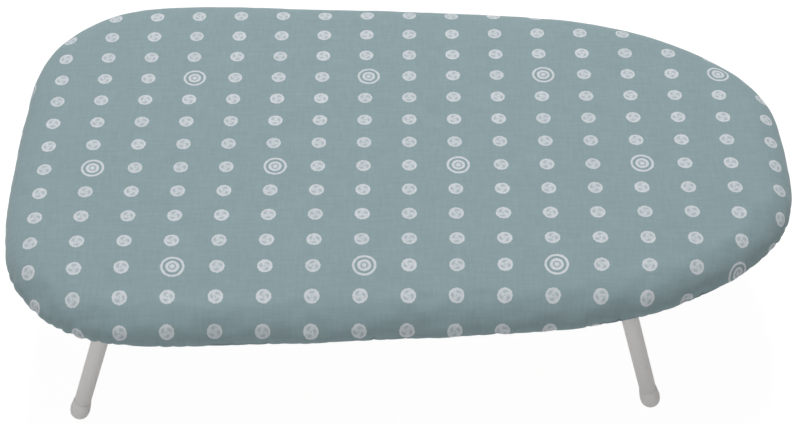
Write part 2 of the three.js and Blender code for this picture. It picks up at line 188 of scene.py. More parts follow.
def outline_curve():
    """Closely spaced points of the outline with their outward directions, counter-clockwise"""
    half = np.array(OUTLINE_SHARES) * (BOARD_LENGTH / 2, BOARD_WIDTH / 2)
    controls = np.vstack([half * (1, -1), half[-2:0:-1]])
    t = np.arange(OUTLINE_SPAN_STEPS)[:, None] / OUTLINE_SPAN_STEPS
    place_weights = ((1 - t) ** 3, 3 * t ** 3 - 6 * t ** 2 + 4, 3 * (t + t ** 2 - t ** 3) + 1, t ** 3)
    along_weights = (-((1 - t) ** 2), 3 * t ** 2 - 4 * t, 1 + 2 * t - 3 * t ** 2, t ** 2)
    places, alongs = [], []
    for span in range(len(controls)):
        four = [controls[(span + k) % len(controls)] for k in range(4)]
        places.append(sum(weight * point for weight, point in zip(place_weights, four)) / 6)
        alongs.append(sum(weight * point for weight, point in zip(along_weights, four)))
    place, along = np.vstack(places), np.vstack(alongs)
    outward = np.stack([along[:, 1], -along[:, 0]], axis=1)
    return place, outward / np.linalg.norm(outward, axis=1, keepdims=True)


def even_stations(count):
    """The outline at evenly spaced distances: places, outward directions, bend and distance round"""
    place, outward = outline_curve()
    ring = np.vstack([place, place[:1]])
    facing = np.vstack([outward, outward[:1]])
    distance = np.concatenate([[0], np.cumsum(np.linalg.norm(np.diff(ring, axis=0), axis=1))])
    at = np.arange(count) / count * distance[-1]
    place = np.stack([np.interp(at, distance, ring[:, k]) for k in range(2)], axis=1)
    outward = np.stack([np.interp(at, distance, facing[:, k]) for k in range(2)], axis=1)
    outward /= np.linalg.norm(outward, axis=1, keepdims=True)
    heading = np.unwrap(np.arctan2(outward[:, 1], outward[:, 0]))
    bend = np.gradient(heading) / np.gradient(at)
    return place, outward, bend, at, distance[-1]


EDGE, OUTWARD, BEND, ROUND_AT, ROUND_LENGTH = even_stations(EDGE_STATIONS)
# The same stations on a circle as long as the outline, for noise that closes on itself
ROUND_TURN = ROUND_AT / ROUND_LENGTH * FULL_TURN
ROUND_RADIUS = ROUND_LENGTH / FULL_TURN
ROUND_CIRCLE = ROUND_RADIUS * np.stack([np.cos(ROUND_TURN), np.sin(ROUND_TURN)], axis=1)


def ring_at(inset, place=EDGE, outward=OUTWARD):
    """The outline moved in"""
    return place - outward * np.reshape(inset, (-1, 1))


def half_width_at(x, ring):
    """Half the width of a ring at a given place along the board"""
    ahead = np.roll(ring, -1, axis=0)
    low, high = np.minimum(ring[:, 0], ahead[:, 0]), np.maximum(ring[:, 0], ahead[:, 0])
    crossed = (low <= x) & (x <= high) & (high > low)
    share = (x - ring[crossed, 0]) / (ahead[crossed, 0] - ring[crossed, 0])
    return float(np.max(ring[crossed, 1] + share * (ahead[crossed, 1] - ring[crossed, 1])))


def inside(points, ring):
    """Which points lie inside a ring"""
    ahead = np.roll(ring, -1, axis=0)
    x, y = points[:, 0:1], points[:, 1:2]
    spans = (ring[:, 1] > y) != (ahead[:, 1] > y)
    with np.errstate(divide="ignore", invalid="ignore"):
        share = (y - ring[:, 1]) / (ahead[:, 1] - ring[:, 1])
        crossing = ring[:, 0] + share * (ahead[:, 0] - ring[:, 0])
    return (spans & (x < crossing)).sum(axis=1) % 2 == 1


# Meshes

def grid_faces(rows, columns, first=0, join_rows=False, join_columns=True):
    """Quads between rows of points"""
    faces = []
    for row in range(rows if join_rows else rows - 1):
        near = first + row * columns
        far = first + (row + 1) % rows * columns
        for column in range(columns if join_columns else columns - 1):
            beside = (column + 1) % columns
            faces.append((near + column, far + column, far + beside, near + beside))
    return faces


def new_piece(name, points, faces, materials, smooth_angle=None):
    """A mesh piece with smooth faces, and sharp edges past an angle where one is given"""
    data = bpy.data.meshes.new(name)
    data.from_pydata([tuple(map(float, point)) for point in points], [], faces)
    data.polygons.foreach_set("use_smooth", [True] * len(data.polygons))
    for material in materials:
        data.materials.append(material)
    if smooth_angle is not None:
        data.set_sharp_from_angle(angle=smooth_angle)
    piece = bpy.data.objects.new(name, data)
    bpy.context.scene.collection.objects.link(piece)
    return piece


def turn_outward(piece):
    """Makes the faces of a closed piece point out"""
    shape = bmesh.new()
    shape.from_mesh(piece.data)
    bmesh.ops.recalc_face_normals(shape, faces=shape.faces)
    shape.to_mesh(piece.data)
    shape.free()


def fit(piece, body, slot, *nodes):
    """Puts a piece on its body in place of its CAD nodes"""
    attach(piece, body)
    if nodes:
        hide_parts(*nodes)
    return piece


# For delaunay_2d_cdt: only the triangles inside the edges, and points closer than this are one
FILL_INSIDE = 1
FILL_MERGE = 1e-7


def fill_ring(ring, spacing, margin):
    """Triangles that fill a ring of stations, with evenly spread points inside it"""
    low, high = ring.min(axis=0), ring.max(axis=0)
    xs = np.arange(low[0] + spacing / 2, high[0], spacing)
    ys = np.arange(low[1] + spacing / 2, high[1], spacing * math.sqrt(3) / 2)
    spread = np.array([(x + (row % 2) * spacing / 2, y) for row, y in enumerate(ys) for x in xs])
    spread = spread[inside(spread, ring - OUTWARD * margin)]
    points = [Vector(p) for p in np.vstack([ring, spread])]
    edges = [(k, (k + 1) % len(ring)) for k in range(len(ring))]
    places, _, faces, *_ = geometry.delaunay_2d_cdt(points, edges, [], FILL_INSIDE, FILL_MERGE)
    return np.array([tuple(p) for p in places]), [tuple(face) for face in faces]


def tube_rings(centres, sides_of, radius, sides):
    """Rings of points round the centres of a tube. sides_of gives two directions across each one"""
    angle = np.arange(sides) / sides * FULL_TURN
    rings = []
    for centre, (across, up) in zip(centres, sides_of):
        ring = np.outer(np.cos(angle), across) + np.outer(np.sin(angle), up)
        rings.append(np.array(centre) + radius * ring)
    return np.vstack(rings)


# Shader parts

def colour(red, green, blue):
    """A colour written in steps of 255 as a shader takes it"""
    def level(step):
        share = step / 255
        return share / 12.92 if share <= 0.04045 else ((share + 0.055) / 1.055) ** 2.4
    return (level(red), level(green), level(blue), 1)


def put(tree, kind, inputs=None, **settings):
    """A node with its settings, and its sockets set or linked"""
    node = tree.nodes.new(kind)
    for key, value in settings.items():
        setattr(node, key, value)
    for key, value in (inputs or {}).items():
        if isinstance(value, bpy.types.NodeSocket):
            tree.links.new(value, node.inputs[key])
        else:
            node.inputs[key].default_value = value
    return node


def calc(tree, operation, *values):
    """The result of a sum on values"""
    return put(tree, "ShaderNodeMath", dict(enumerate(values)), operation=operation).outputs[0]


def vector_calc(tree, operation, *values, output=0):
    """The result of a sum on vectors"""
    return put(tree, "ShaderNodeVectorMath", dict(enumerate(values)), operation=operation).outputs[output]


def scaled(tree, vector, factor):
    """A vector or colour times a factor"""
    vector = vector if isinstance(vector, bpy.types.NodeSocket) else vector[:3]
    return put(tree, "ShaderNodeVectorMath", {0: vector, "Scale": factor}, operation="SCALE").outputs[0]


def swing(tree, value, amount, middle=1.0):
    """The middle, raised and lowered by a value that varies about a half"""
    return calc(tree, "MULTIPLY_ADD", calc(tree, "SUBTRACT", value, 0.5), amount, middle)


def soft_step(tree, value, low, high):
    """0 below low and 1 above high, or the other way round where low is above high"""
    rising = low < high
    ends = {"From Min": min(low, high), "From Max": max(low, high)}
    ends |= {"To Min": 0.0 if rising else 1.0, "To Max": 1.0 if rising else 0.0, "Value": value}
    return put(tree, "ShaderNodeMapRange", ends, interpolation_type="SMOOTHSTEP").outputs["Result"]


def mixed(tree, share, first, second):
    """A colour between two"""
    inputs = {0: share, 6: first, 7: second}
    return put(tree, "ShaderNodeMix", inputs, data_type="RGBA").outputs[2]


def grain(tree, place, scale, detail=2.0, roughness=0.5, stretch=None):
    """Smooth noise of about 1 / scale in size"""
    if stretch:
        place = vector_calc(tree, "MULTIPLY", place, stretch)
    inputs = {"Vector": place, "Scale": scale, "Detail": detail, "Roughness": roughness}
    return put(tree, "ShaderNodeTexNoise", inputs).outputs["Fac"]


def new_group(name, inputs, outputs):
    """An empty shader group with its sockets: the tree, what comes in and where the results go"""
    group = bpy.data.node_groups.new(name, "ShaderNodeTree")
    for title, kind, value in inputs:
        group.interface.new_socket(title, in_out="INPUT", socket_type=kind).default_value = value
    for title, kind in outputs:
        group.interface.new_socket(title, in_out="OUTPUT", socket_type=kind)
    return group, group.nodes.new("NodeGroupInput").outputs, group.nodes.new("NodeGroupOutput").inputs


def use_group(tree, group, inputs):
    """The outputs of a shader group placed in a material"""
    return put(tree, "ShaderNodeGroup", inputs, node_tree=group).outputs


VECTOR, VALUE = "NodeSocketVector", "NodeSocketFloat"

# How quickly the noise that varies the threads changes along X and Y, for each thread's width: first
# for the threads that run across the board, then for those that run along it
WARP_STRETCH = (0.9, 0.06, 1)
WEFT_STRETCH = (0.05, 0.8, 1)
# How much of the weave's height is the crossing of its threads
CROSSING_HEIGHT = 0.35


def make_weave_group():
    """Plain weave: its height, and how its threads vary in shade"""
    group, given, result = new_group(
        "plain weave",
        [("Place", VECTOR, (0, 0, 0)), ("Thread", VALUE, 0.6 * MM)],
        [("Height", VALUE), ("Shade", VALUE)],
    )
    turns = calc(group, "DIVIDE", math.pi, given["Thread"])
    phase = scaled(group, given["Place"], turns)
    parts = put(group, "ShaderNodeSeparateXYZ", {0: phase}).outputs
    crossing = calc(group, "MULTIPLY", calc(group, "SINE", parts[0]), calc(group, "SINE", parts[1]))
    count = scaled(group, given["Place"], calc(group, "DIVIDE", 1.0, given["Thread"]))
    warp = grain(group, count, scale=1.0, detail=1.0, stretch=WARP_STRETCH)
    weft = grain(group, count, scale=1.0, detail=1.0, stretch=WEFT_STRETCH)
    threads = calc(group, "ADD", warp, weft)
    height = calc(group, "MULTIPLY_ADD", crossing, CROSSING_HEIGHT, threads)
    group.links.new(height, result["Height"])
    group.links.new(calc(group, "MULTIPLY", threads, 0.5), result["Shade"])
    return group


# The print, in the plane of the cloth: where a dot lies, and how its rows lie
PRINT_ORIGIN = (7.4 * MM, -19.7 * MM)
PRINT_TURN = math.radians(0.564)
PRINT_LEAN = math.radians(-1.351)
DOT_PITCH_X = 34.96 * MM
DOT_PITCH_Y = 24.83 * MM
# A small dot: its disc, the ring in it and its middle, and how much of the ink these take away
DOT_RADIUS = 5.6 * MM
DOT_RING = (1.6 * MM, 4.1 * MM)
DOT_RING_DEPTH = 0.5
DOT_EYE = 0.7 * MM
DOT_EYE_DEPTH = 0.5
# Its wavy edge, turned by chance, and the lobes of its ring, turned by chance and by the radius
DOT_PETALS = 12
DOT_PETAL_DEPTH = 0.1 * MM
DOT_PETAL_TURN = 6
RING_PETALS = 3
RING_PETAL_TURN = 40
RING_PETAL_SWIRL = 0.6 / MM
RING_PETAL_MIDDLE = 0.6
RING_PETAL_SWING = 0.5
# How unevenly the ink lies: the size of its blots, how far they move an edge, and its least strength
DOT_BLOT = 3 * MM
DOT_UNEVEN = 0.9 * MM
PRINT_SOFTNESS = 0.3 * MM
INK_LEAST = 0.88
# The larger motif stands at every fourth place of every fourth row, shifted by two in turn
MOTIF_EVERY = 4.0
MOTIF_FIRST = 1.0
MOTIF_ROW_SHIFT = 0.5
MOTIF_SHIFT = 2.4 * MM
MOTIF_RIM = (7.1 * MM, 8.9 * MM)
MOTIF_CORE = 5.1 * MM
MOTIF_GROOVE = (1.8 * MM, 3.0 * MM)
MOTIF_GROOVE_DEPTH = 0.75
# How far the cloth is drawn down over the near edge, and between which places
PRINT_PULL = 4.2 * MM
PRINT_PULL_RANGE = (112 * MM, 185 * MM)
# And how far it is drawn together along that edge
PRINT_DRAW_IN = 0.019
PRINT_DRAW_RANGE = (95 * MM, 175 * MM)
PRINT_DRAW_MIDDLE = -50 * MM


def make_print_group():
    """Rows of small dots with a ring in each, and a larger ring-and-dot at every fourth place"""
    group, given, result = new_group(
        "dot print",
        [("Place", VECTOR, (0, 0, 0))],
        [("Ink", VALUE)],
    )
    turn = Matrix.Rotation(PRINT_TURN, 2)
    along = turn @ Vector((1, 0)) * DOT_PITCH_X
    across = turn @ Vector((math.sin(PRINT_LEAN), -math.cos(PRINT_LEAN))) * DOT_PITCH_Y
    steps = Matrix((along, across)).transposed().inverted()
    spot = vector_calc(group, "SUBTRACT", given["Place"], (*PRINT_ORIGIN, 0))
    spot = vector_calc(group, "MULTIPLY", spot, (1, 1, 0))
    column = vector_calc(group, "DOT_PRODUCT", spot, (*steps[0], 0), output="Value")
    row = vector_calc(group, "DOT_PRODUCT", spot, (*steps[1], 0), output="Value")
    whole_column, whole_row = calc(group, "ROUND", column), calc(group, "ROUND", row)
    off_along = scaled(group, (*along, 0.0), calc(group, "SUBTRACT", column, whole_column))
    off_across = scaled(group, (*across, 0.0), calc(group, "SUBTRACT", row, whole_row))
    off = vector_calc(group, "ADD", off_along, off_across)
    radius = vector_calc(group, "LENGTH", off, output="Value")

    def within(value, radius):
        return soft_step(group, value, radius + PRINT_SOFTNESS, radius - PRINT_SOFTNESS)

    def band(value, inner, outer):
        rise = soft_step(group, value, inner - PRINT_SOFTNESS, inner + PRINT_SOFTNESS)
        return calc(group, "MULTIPLY", rise, within(value, outer))

    # An uneven edge, other for each dot
    cell = put(group, "ShaderNodeCombineXYZ", {0: whole_column, 1: whole_row}).outputs[0]
    chance = put(group, "ShaderNodeTexWhiteNoise", {"Vector": cell}, noise_dimensions="3D").outputs["Value"]
    blur = grain(group, given["Place"], scale=1 / DOT_BLOT, detail=1.0)
    blotted = swing(group, blur, DOT_UNEVEN, radius)
    parts = put(group, "ShaderNodeSeparateXYZ", {0: off}).outputs
    angle = calc(group, "ARCTAN2", parts[1], parts[0])
    petal_turn = calc(group, "MULTIPLY", chance, DOT_PETAL_TURN)
    petals = calc(group, "COSINE", calc(group, "MULTIPLY_ADD", angle, DOT_PETALS, petal_turn))
    petalled = calc(group, "MULTIPLY_ADD", petals, DOT_PETAL_DEPTH, blotted)

    # The small dot
    ring_turn = calc(group, "MULTIPLY", chance, RING_PETAL_TURN)
    swirl = calc(group, "MULTIPLY_ADD", blotted, RING_PETAL_SWIRL, ring_turn)
    lobes = calc(group, "COSINE", calc(group, "MULTIPLY_ADD", angle, RING_PETALS, swirl))
    lobes = calc(group, "MULTIPLY_ADD", lobes, RING_PETAL_SWING, RING_PETAL_MIDDLE)
    ring = calc(group, "MULTIPLY", band(petalled, *DOT_RING), lobes)
    left = calc(group, "MULTIPLY_ADD", ring, -DOT_RING_DEPTH, 1.0)
    left = calc(group, "MULTIPLY_ADD", within(blotted, DOT_EYE), -DOT_EYE_DEPTH, left)
    dot = calc(group, "MULTIPLY", within(petalled, DOT_RADIUS), left)

    # The larger motif
    beside = vector_calc(group, "SUBTRACT", off, (MOTIF_SHIFT, 0, 0))
    beside = vector_calc(group, "LENGTH", beside, output="Value")
    beside = swing(group, blur, DOT_UNEVEN, beside)
    left = calc(group, "MULTIPLY_ADD", band(beside, *MOTIF_GROOVE), -MOTIF_GROOVE_DEPTH, 1.0)
    core = calc(group, "MULTIPLY", within(beside, MOTIF_CORE), left)
    motif = calc(group, "MAXIMUM", band(beside, *MOTIF_RIM), core)

    # Which of the two stands at a place
    on_row = calc(group, "LESS_THAN", calc(group, "FLOORED_MODULO", whole_row, MOTIF_EVERY), 0.5)
    row_shift = calc(group, "MULTIPLY_ADD", whole_row, MOTIF_ROW_SHIFT, -MOTIF_FIRST)
    shifted = calc(group, "ADD", whole_column, row_shift)
    on_column = calc(group, "LESS_THAN", calc(group, "FLOORED_MODULO", shifted, MOTIF_EVERY), 0.5)
    large = calc(group, "MULTIPLY", on_row, on_column)
    both = put(group, "ShaderNodeMix", {0: large, 2: dot, 3: motif}, data_type="FLOAT").outputs[0]
    strength = calc(group, "MULTIPLY_ADD", chance, 1 - INK_LEAST, INK_LEAST)
    group.links.new(calc(group, "MULTIPLY", both, strength), result["Ink"])
    return group


def make_coat_group():
    """The slightly uneven skin of powder coat or moulded plastic"""
    group, given, result = new_group(
        "coat skin",
        [("Place", VECTOR, (0, 0, 0)), ("Fineness", VALUE, 900.0)],
        [("Height", VALUE), ("Shade", VALUE)],
    )
    fine = grain(group, given["Place"], scale=given["Fineness"], roughness=0.55)
    clouds = grain(group, given["Place"], scale=22.0, detail=3.0, roughness=0.6)
    group.links.new(fine, result["Height"])
    group.links.new(clouds, result["Shade"])
    return group


def make_scuff_group():
    """Small scuffs, as a mask"""
    group, given, result = new_group(
        "scuffs",
        [("Place", VECTOR, (0, 0, 0)), ("Amount", VALUE, 0.3)],
        [("Mask", VALUE)],
    )
    patches = grain(group, given["Place"], scale=55.0, detail=3.0, roughness=0.6)
    lines = grain(group, given["Place"], scale=260.0, detail=3.0, roughness=0.7, stretch=(1, 3, 0.4))
    patches, lines = soft_step(group, patches, 0.5, 0.68), soft_step(group, lines, 0.5, 0.66)
    both = calc(group, "MULTIPLY", patches, lines)
    group.links.new(calc(group, "MULTIPLY", both, given["Amount"]), result["Mask"])
    return group


WEAVE = make_weave_group()
DOT_PRINT = make_print_group()
COAT_SKIN = make_coat_group()
SCUFFS = make_scuff_group()


def new_material(name, roughness, metallic=0.0, **constants):
    """A material with its shader, ready for its colour and bump"""
    material = bpy.data.materials.new(name)
    material.use_nodes = True
    tree = material.node_tree
    shader = tree.nodes["Principled BSDF"]
    shader.inputs["Roughness"].default_value = roughness
    shader.inputs["Metallic"].default_value = metallic
    for key, value in constants.items():
        shader.inputs[key.replace("_", " ")].default_value = value
    return material, tree, shader.inputs


def rest_place(tree):
    """Where a point of the piece is before anything moves"""
    return put(tree, "ShaderNodeTexCoord").outputs["Object"]


def cloth_place(tree):
    """Where a point of the cloth lies when it is spread flat"""
    return put(tree, "ShaderNodeUVMap", uv_map="cloth").outputs["UV"]


def bumped(tree, shader, height, distance, strength=1.0):
    """Gives a material a bump of a depth from a height of 0 to 1"""
    inputs = {"Height": height, "Distance": distance, "Strength": strength}
    tree.links.new(put(tree, "ShaderNodeBump", inputs).outputs[0], shader["Normal"])


CLOTH_GROUND = colour(138, 160, 164)
CLOTH_INK = colour(212, 217, 222)
CLOTH_BACK = colour(176, 187, 189)
COAT_GREY = colour(231, 228, 225)
CAP_GREY = colour(246, 243, 240)
THREAD = colour(172, 186, 188)
FELT = colour(214, 209, 199)
ELASTIC_WHITE = colour(228, 226, 220)
ZINC = colour(190, 192, 195)
FELT_FLECK = colour(150, 146, 140)
ZINC_SPANGLE = colour(150, 153, 158)

# Threads of the cloth and of the elastic, and how deep their weave stands
CLOTH_THREAD = 0.55 * MM
CLOTH_RELIEF = 0.06 * MM
CLOTH_RELIEF_STRENGTH = 0.6
ELASTIC_THREAD = 0.5 * MM
ELASTIC_RELIEF = 0.15 * MM
FELT_RELIEF = 0.5 * MM
TWIST_RELIEF = 0.1 * MM
ZINC_RELIEF = 0.03 * MM
# How strongly the shade of the printed cloth varies: in clouds, in thick threads and in the weave
CLOUD_CONTRAST = 0.10
SLUB_CONTRAST = 0.16
WEAVE_CONTRAST = 0.22
# A thick thread is this much thinner than it is long
SLUB_SHARE = 0.14
# How much of the print shows through on the reverse
INK_THROUGH = 0.35
# How dark a scuff in a coat is
SCUFF_SHADE = 0.6


def make_printed_cloth():
    """The face of the cotton"""
    material, tree, shader = new_material("printed_cotton", 0.86, Sheen_Weight=0.12, Sheen_Roughness=0.6)
    place = cloth_place(tree)
    weave = use_group(tree, WEAVE, {"Place": place, "Thread": CLOTH_THREAD})
    ink = use_group(tree, DOT_PRINT, {"Place": place})["Ink"]
    clouds = grain(tree, place, scale=32.0, detail=3.0, roughness=0.6)
    warp_slubs = grain(tree, place, scale=420.0, stretch=(1, SLUB_SHARE, 1))
    weft_slubs = grain(tree, place, scale=380.0, stretch=(SLUB_SHARE, 1, 1))
    shade = swing(tree, clouds, CLOUD_CONTRAST)
    shade = swing(tree, warp_slubs, SLUB_CONTRAST, shade)
    shade = swing(tree, weft_slubs, SLUB_CONTRAST, shade)
    shade = swing(tree, weave["Shade"], WEAVE_CONTRAST, shade)
    tone = mixed(tree, ink, CLOTH_GROUND, CLOTH_INK)
    tree.links.new(scaled(tree, tone, shade), shader["Base Color"])
    bumped(tree, shader, weave["Height"], CLOTH_RELIEF, CLOTH_RELIEF_STRENGTH)
    return material


def make_cloth_back():
    """The reverse of the cotton, with the print showing through"""
    material, tree, shader = new_material("cotton_reverse", 0.9)
    place = cloth_place(tree)
    weave = use_group(tree, WEAVE, {"Place": place, "Thread": CLOTH_THREAD})
    ink = use_group(tree, DOT_PRINT, {"Place": place})["Ink"]
    shown = calc(tree, "MULTIPLY", ink, INK_THROUGH)
    tone = mixed(tree, shown, CLOTH_BACK, CLOTH_INK)
    shade = swing(tree, weave["Shade"], 0.25)
    tree.links.new(scaled(tree, tone, shade), shader["Base Color"])
    bumped(tree, shader, weave["Height"], CLOTH_RELIEF, CLOTH_RELIEF_STRENGTH)
    return material


def make_felt():
    """Needled felt: fibres, tufts and darker flecks"""
    material, tree, shader = new_material("needled_felt", 1.0, Sheen_Weight=0.2)
    place = rest_place(tree)
    fibres = grain(tree, place, scale=700.0, detail=4.0, roughness=0.7, stretch=(1, 0.35, 1))
    tufts = grain(tree, place, scale=90.0, detail=3.0, roughness=0.6)
    fleck = soft_step(tree, grain(tree, place, scale=420.0), 0.66, 0.74)
    tone = mixed(tree, calc(tree, "MULTIPLY", fleck, 0.35), FELT, FELT_FLECK)
    shade = calc(tree, "MULTIPLY_ADD", fibres, 0.22, 0.86)
    shade = swing(tree, tufts, 0.12, shade)
    tree.links.new(scaled(tree, tone, shade), shader["Base Color"])
    bumped(tree, shader, fibres, FELT_RELIEF, 0.7)
    return material


def make_elastic_braid():
    """Braided elastic"""
    material, tree, shader = new_material("braided_elastic", 0.75)
    weave = use_group(tree, WEAVE, {"Place": cloth_place(tree), "Thread": ELASTIC_THREAD})
    shade = swing(tree, weave["Shade"], 0.3)
    tree.links.new(scaled(tree, ELASTIC_WHITE, shade), shader["Base Color"])
    bumped(tree, shader, weave["Height"], ELASTIC_RELIEF)
    return material


def make_coated(name, tone, roughness, fineness, skin_depth, scuff):
    """Powder-coated steel or moulded plastic"""
    material, tree, shader = new_material(name, roughness)
    place = rest_place(tree)
    skin = use_group(tree, COAT_SKIN, {"Place": place, "Fineness": fineness})
    marks = use_group(tree, SCUFFS, {"Place": place, "Amount": scuff})["Mask"]
    shade = swing(tree, skin["Shade"], 0.06)
    worn_tone = tuple(SCUFF_SHADE * level for level in tone[:3]) + (1,)
    worn = mixed(tree, marks, tone, worn_tone)
    tree.links.new(scaled(tree, worn, shade), shader["Base Color"])
    rough = calc(tree, "MULTIPLY_ADD", marks, 0.25, roughness)
    rough = swing(tree, skin["Shade"], 0.1, rough)
    tree.links.new(rough, shader["Roughness"])
    bumped(tree, shader, skin["Height"], skin_depth)
    return material


def make_thread():
    """Twisted sewing thread"""
    material, tree, shader = new_material("stitch_thread", 0.7, Sheen_Weight=0.2)
    twist = grain(tree, rest_place(tree), scale=900.0, roughness=0.6)
    shade = calc(tree, "MULTIPLY_ADD", twist, 0.3, 0.85)
    tree.links.new(scaled(tree, THREAD, shade), shader["Base Color"])
    bumped(tree, shader, twist, TWIST_RELIEF)
    return material


def make_zinc():
    """Zinc plating with its faint spangle"""
    material, tree, shader = new_material("zinc_plate", 0.36, 0.9)
    place = rest_place(tree)
    skin = use_group(tree, COAT_SKIN, {"Place": place, "Fineness": 420.0})
    spangle = put(tree, "ShaderNodeTexVoronoi", {"Vector": place, "Scale": 240.0}).outputs["Color"]
    dimmed = put(tree, "ShaderNodeRGBToBW", {0: spangle}).outputs[0]
    tone = mixed(tree, calc(tree, "MULTIPLY", dimmed, 0.35), ZINC, ZINC_SPANGLE)
    shade = calc(tree, "MULTIPLY_ADD", skin["Shade"], 0.3, 0.85)
    rough = calc(tree, "MULTIPLY_ADD", skin["Shade"], 0.3, 0.22)
    tree.links.new(scaled(tree, tone, shade), shader["Base Color"])
    tree.links.new(rough, shader["Roughness"])
    bumped(tree, shader, skin["Height"], ZINC_RELIEF)
    return material


PRINTED_COTTON = make_printed_cloth()
COTTON_REVERSE = make_cloth_back()
NEEDLED_FELT = make_felt()
BRAIDED_ELASTIC = make_elastic_braid()
COATED_STEEL = make_coated("powder_coat_board", COAT_GREY, 0.42, 900.0, 0.06 * MM, 0.12)
COATED_LEG = make_coated("powder_coat_legs", COAT_GREY, 0.45, 900.0, 0.06 * MM, 0.2)
CAP_PLASTIC = make_coated("foot_cap_plastic", CAP_GREY, 0.58, 1600.0, 0.05 * MM, 0.35)
BLOCK_PLASTIC = make_coated("bearing_plastic", CAP_GREY, 0.5, 1600.0, 0.04 * MM, 0.15)
ZINC_STEEL = make_zinc()
STITCH_THREAD = make_thread()


# Cover

def smooth_path(points, steps):
    """A smooth curve through the points, with a number of steps between each two"""
    knots = np.array([points[0], *points, points[-1]], float)
    out = []
    for k in range(1, len(knots) - 2):
        a, b, c, d = knots[k - 1:k + 3]
        for step in range(steps):
            t = step / steps
            out.append(0.5 * (2 * b + (c - a) * t + (2 * a - 5 * b + 4 * c - d) * t ** 2
                              + (3 * b - a - 3 * c + d) * t ** 3))
    out.append(knots[-1])
    return np.array(out)


def rounded(value, low, high):
    """0 below low and 1 above high, with a smooth rise between them"""
    share = np.clip((value - low) / (high - low), 0, 1)
    return share * share * (3 - 2 * share)


def by_facing(near, far):
    """A value for each station that changes from the near side to the far side"""
    return near + (far - near) * (OUTWARD[:, 1] + 1) / 2


def bulge():
    """How far the edge stands out at each station"""
    facing = np.degrees(np.arctan2(OUTWARD[:, 1], OUTWARD[:, 0]))
    angles, sizes = zip(*BULGES)
    stepped = np.interp(facing, angles, sizes)
    width = int(EDGE_STATIONS * BULGE_SMOOTHING)
    window = np.hanning(2 * width + 1)
    padded = np.concatenate([stepped[-width:], stepped, stepped[:width]])
    return np.convolve(padded, window / window.sum(), "valid")


def cover_profile():
    """Insets and heights of the cover's rows at each station, before it is gathered"""
    reach, power = by_facing(NEAR_DROOP_REACH, FAR_DROOP_REACH), by_facing(NEAR_SHOULDER, FAR_SHOULDER)
    ease = by_facing(EASE_DEPTH, 0)
    angle = np.linspace(0, QUARTER_TURN, DROOP_ROWS + 1)[:, None]
    droop_in = reach * (1 - np.sin(angle) ** (2 / power))
    depth = by_facing(NEAR_DROOP_DEPTH, FAR_DROOP_DEPTH)
    droop_down = (depth - ease) * (1 - np.clip(np.cos(angle), 0, 1) ** (2 / power))
    before = np.linspace(1, 0, EASE_ROWS, endpoint=False)[:, None]
    droop_in = np.vstack([reach + before * (EASE_START - reach), droop_in])
    droop_down = np.vstack([np.zeros((EASE_ROWS, EDGE_STATIONS)), droop_down])
    droop_up = BOARD_TOP - droop_down - ease * rounded(-droop_in, -EASE_START, -EASE_END)
    tuck = smooth_path(TUCK_POINTS, TUCK_STEPS)[1:]
    turn = np.linspace(0, HEM_TURN, HEM_ROWS + 1)[1:]
    hem = np.stack([HEM_INSET + HEM_RADIUS * np.sin(turn), HEM_HEIGHT - HEM_RADIUS * np.cos(turn)], axis=1)
    all_round = np.zeros(EDGE_STATIONS)
    under_in = np.concatenate([tuck[:, 0], hem[:, 0]])[:, None] + all_round
    tuck_up = BOARD_TOP - depth - tuck[:, 1:] * (LIP_DEPTH - depth)
    under_up = np.vstack([tuck_up, hem[:, 1:] + all_round])
    inset, height = np.vstack([droop_in, under_in]), np.vstack([droop_up, under_up])
    return inset - bulge() * rounded(-inset, -HEM_INSET, 0), height


def profile_facing(inset, height):
    """The outward direction of each profile point, as an inset part and a height part"""
    along_in, along_up = np.gradient(inset, axis=0), np.gradient(height, axis=0)
    length = np.hypot(along_in, along_up) + 1e-12
    return along_up / length, -along_in / length


# How far apart in the noise two seeds after each other lie
SEED_STEPS = (3.7, 1.3, 7.9)


def soft_noise(places, size, seed):
    """Smooth noise from -1 to 1 at each place"""
    shift = Vector([seed * step for step in SEED_STEPS])
    return np.array([noise.noise(Vector(p) / size + shift) for p in places])


def round_noise(size, seed):
    """Smooth noise from -1 to 1 along the edge, which closes on itself"""
    circle = np.column_stack([ROUND_CIRCLE, np.zeros(EDGE_STATIONS)])
    return soft_noise(circle, size, seed)


def layered_noise(places, layers):
    """Layers of smooth noise, each with its height, size and seed"""
    return sum(height * soft_noise(places, size, seed) for height, size, seed in layers)


# Within what length of the edge the folds shift in width, far and a little, and change in height
FOLD_DRIFT = 50 * MM
FOLD_JITTER = 18 * MM
FOLD_JITTER_SHARE = 0.4
FOLD_PATCH = 22 * MM
# The height of a fold: its least, what may be added, and how much the noise is shifted up for that
FOLD_LEAST = 0.45
FOLD_MORE = 0.75
FOLD_SHIFT = 0.45
# How full its back is, where 1 is a sine, and about the mean of that, which is taken off again
FOLD_POWER = 0.55
FOLD_MEAN = 0.72


def folds(count, wander, seed):
    """Round folds along the edge with narrow valleys between them, of uneven width and height"""
    drift = round_noise(FOLD_DRIFT, seed) + FOLD_JITTER_SHARE * round_noise(FOLD_JITTER, seed + 1)
    phase = count / 2 * ROUND_TURN + wander * drift
    height = FOLD_LEAST + FOLD_MORE * np.clip(round_noise(FOLD_PATCH, seed + 2) + FOLD_SHIFT, 0, 1)
    return (np.abs(np.sin(phase)) ** FOLD_POWER - FOLD_MEAN) * height


# The same for the creases, then how narrow they are, and the noise between none and a deep one
CREASE_DRIFT = 40 * MM
CREASE_PATCH = 20 * MM
CREASE_POWER = 2.5
CREASE_CHANCE = (-0.1, 0.35)


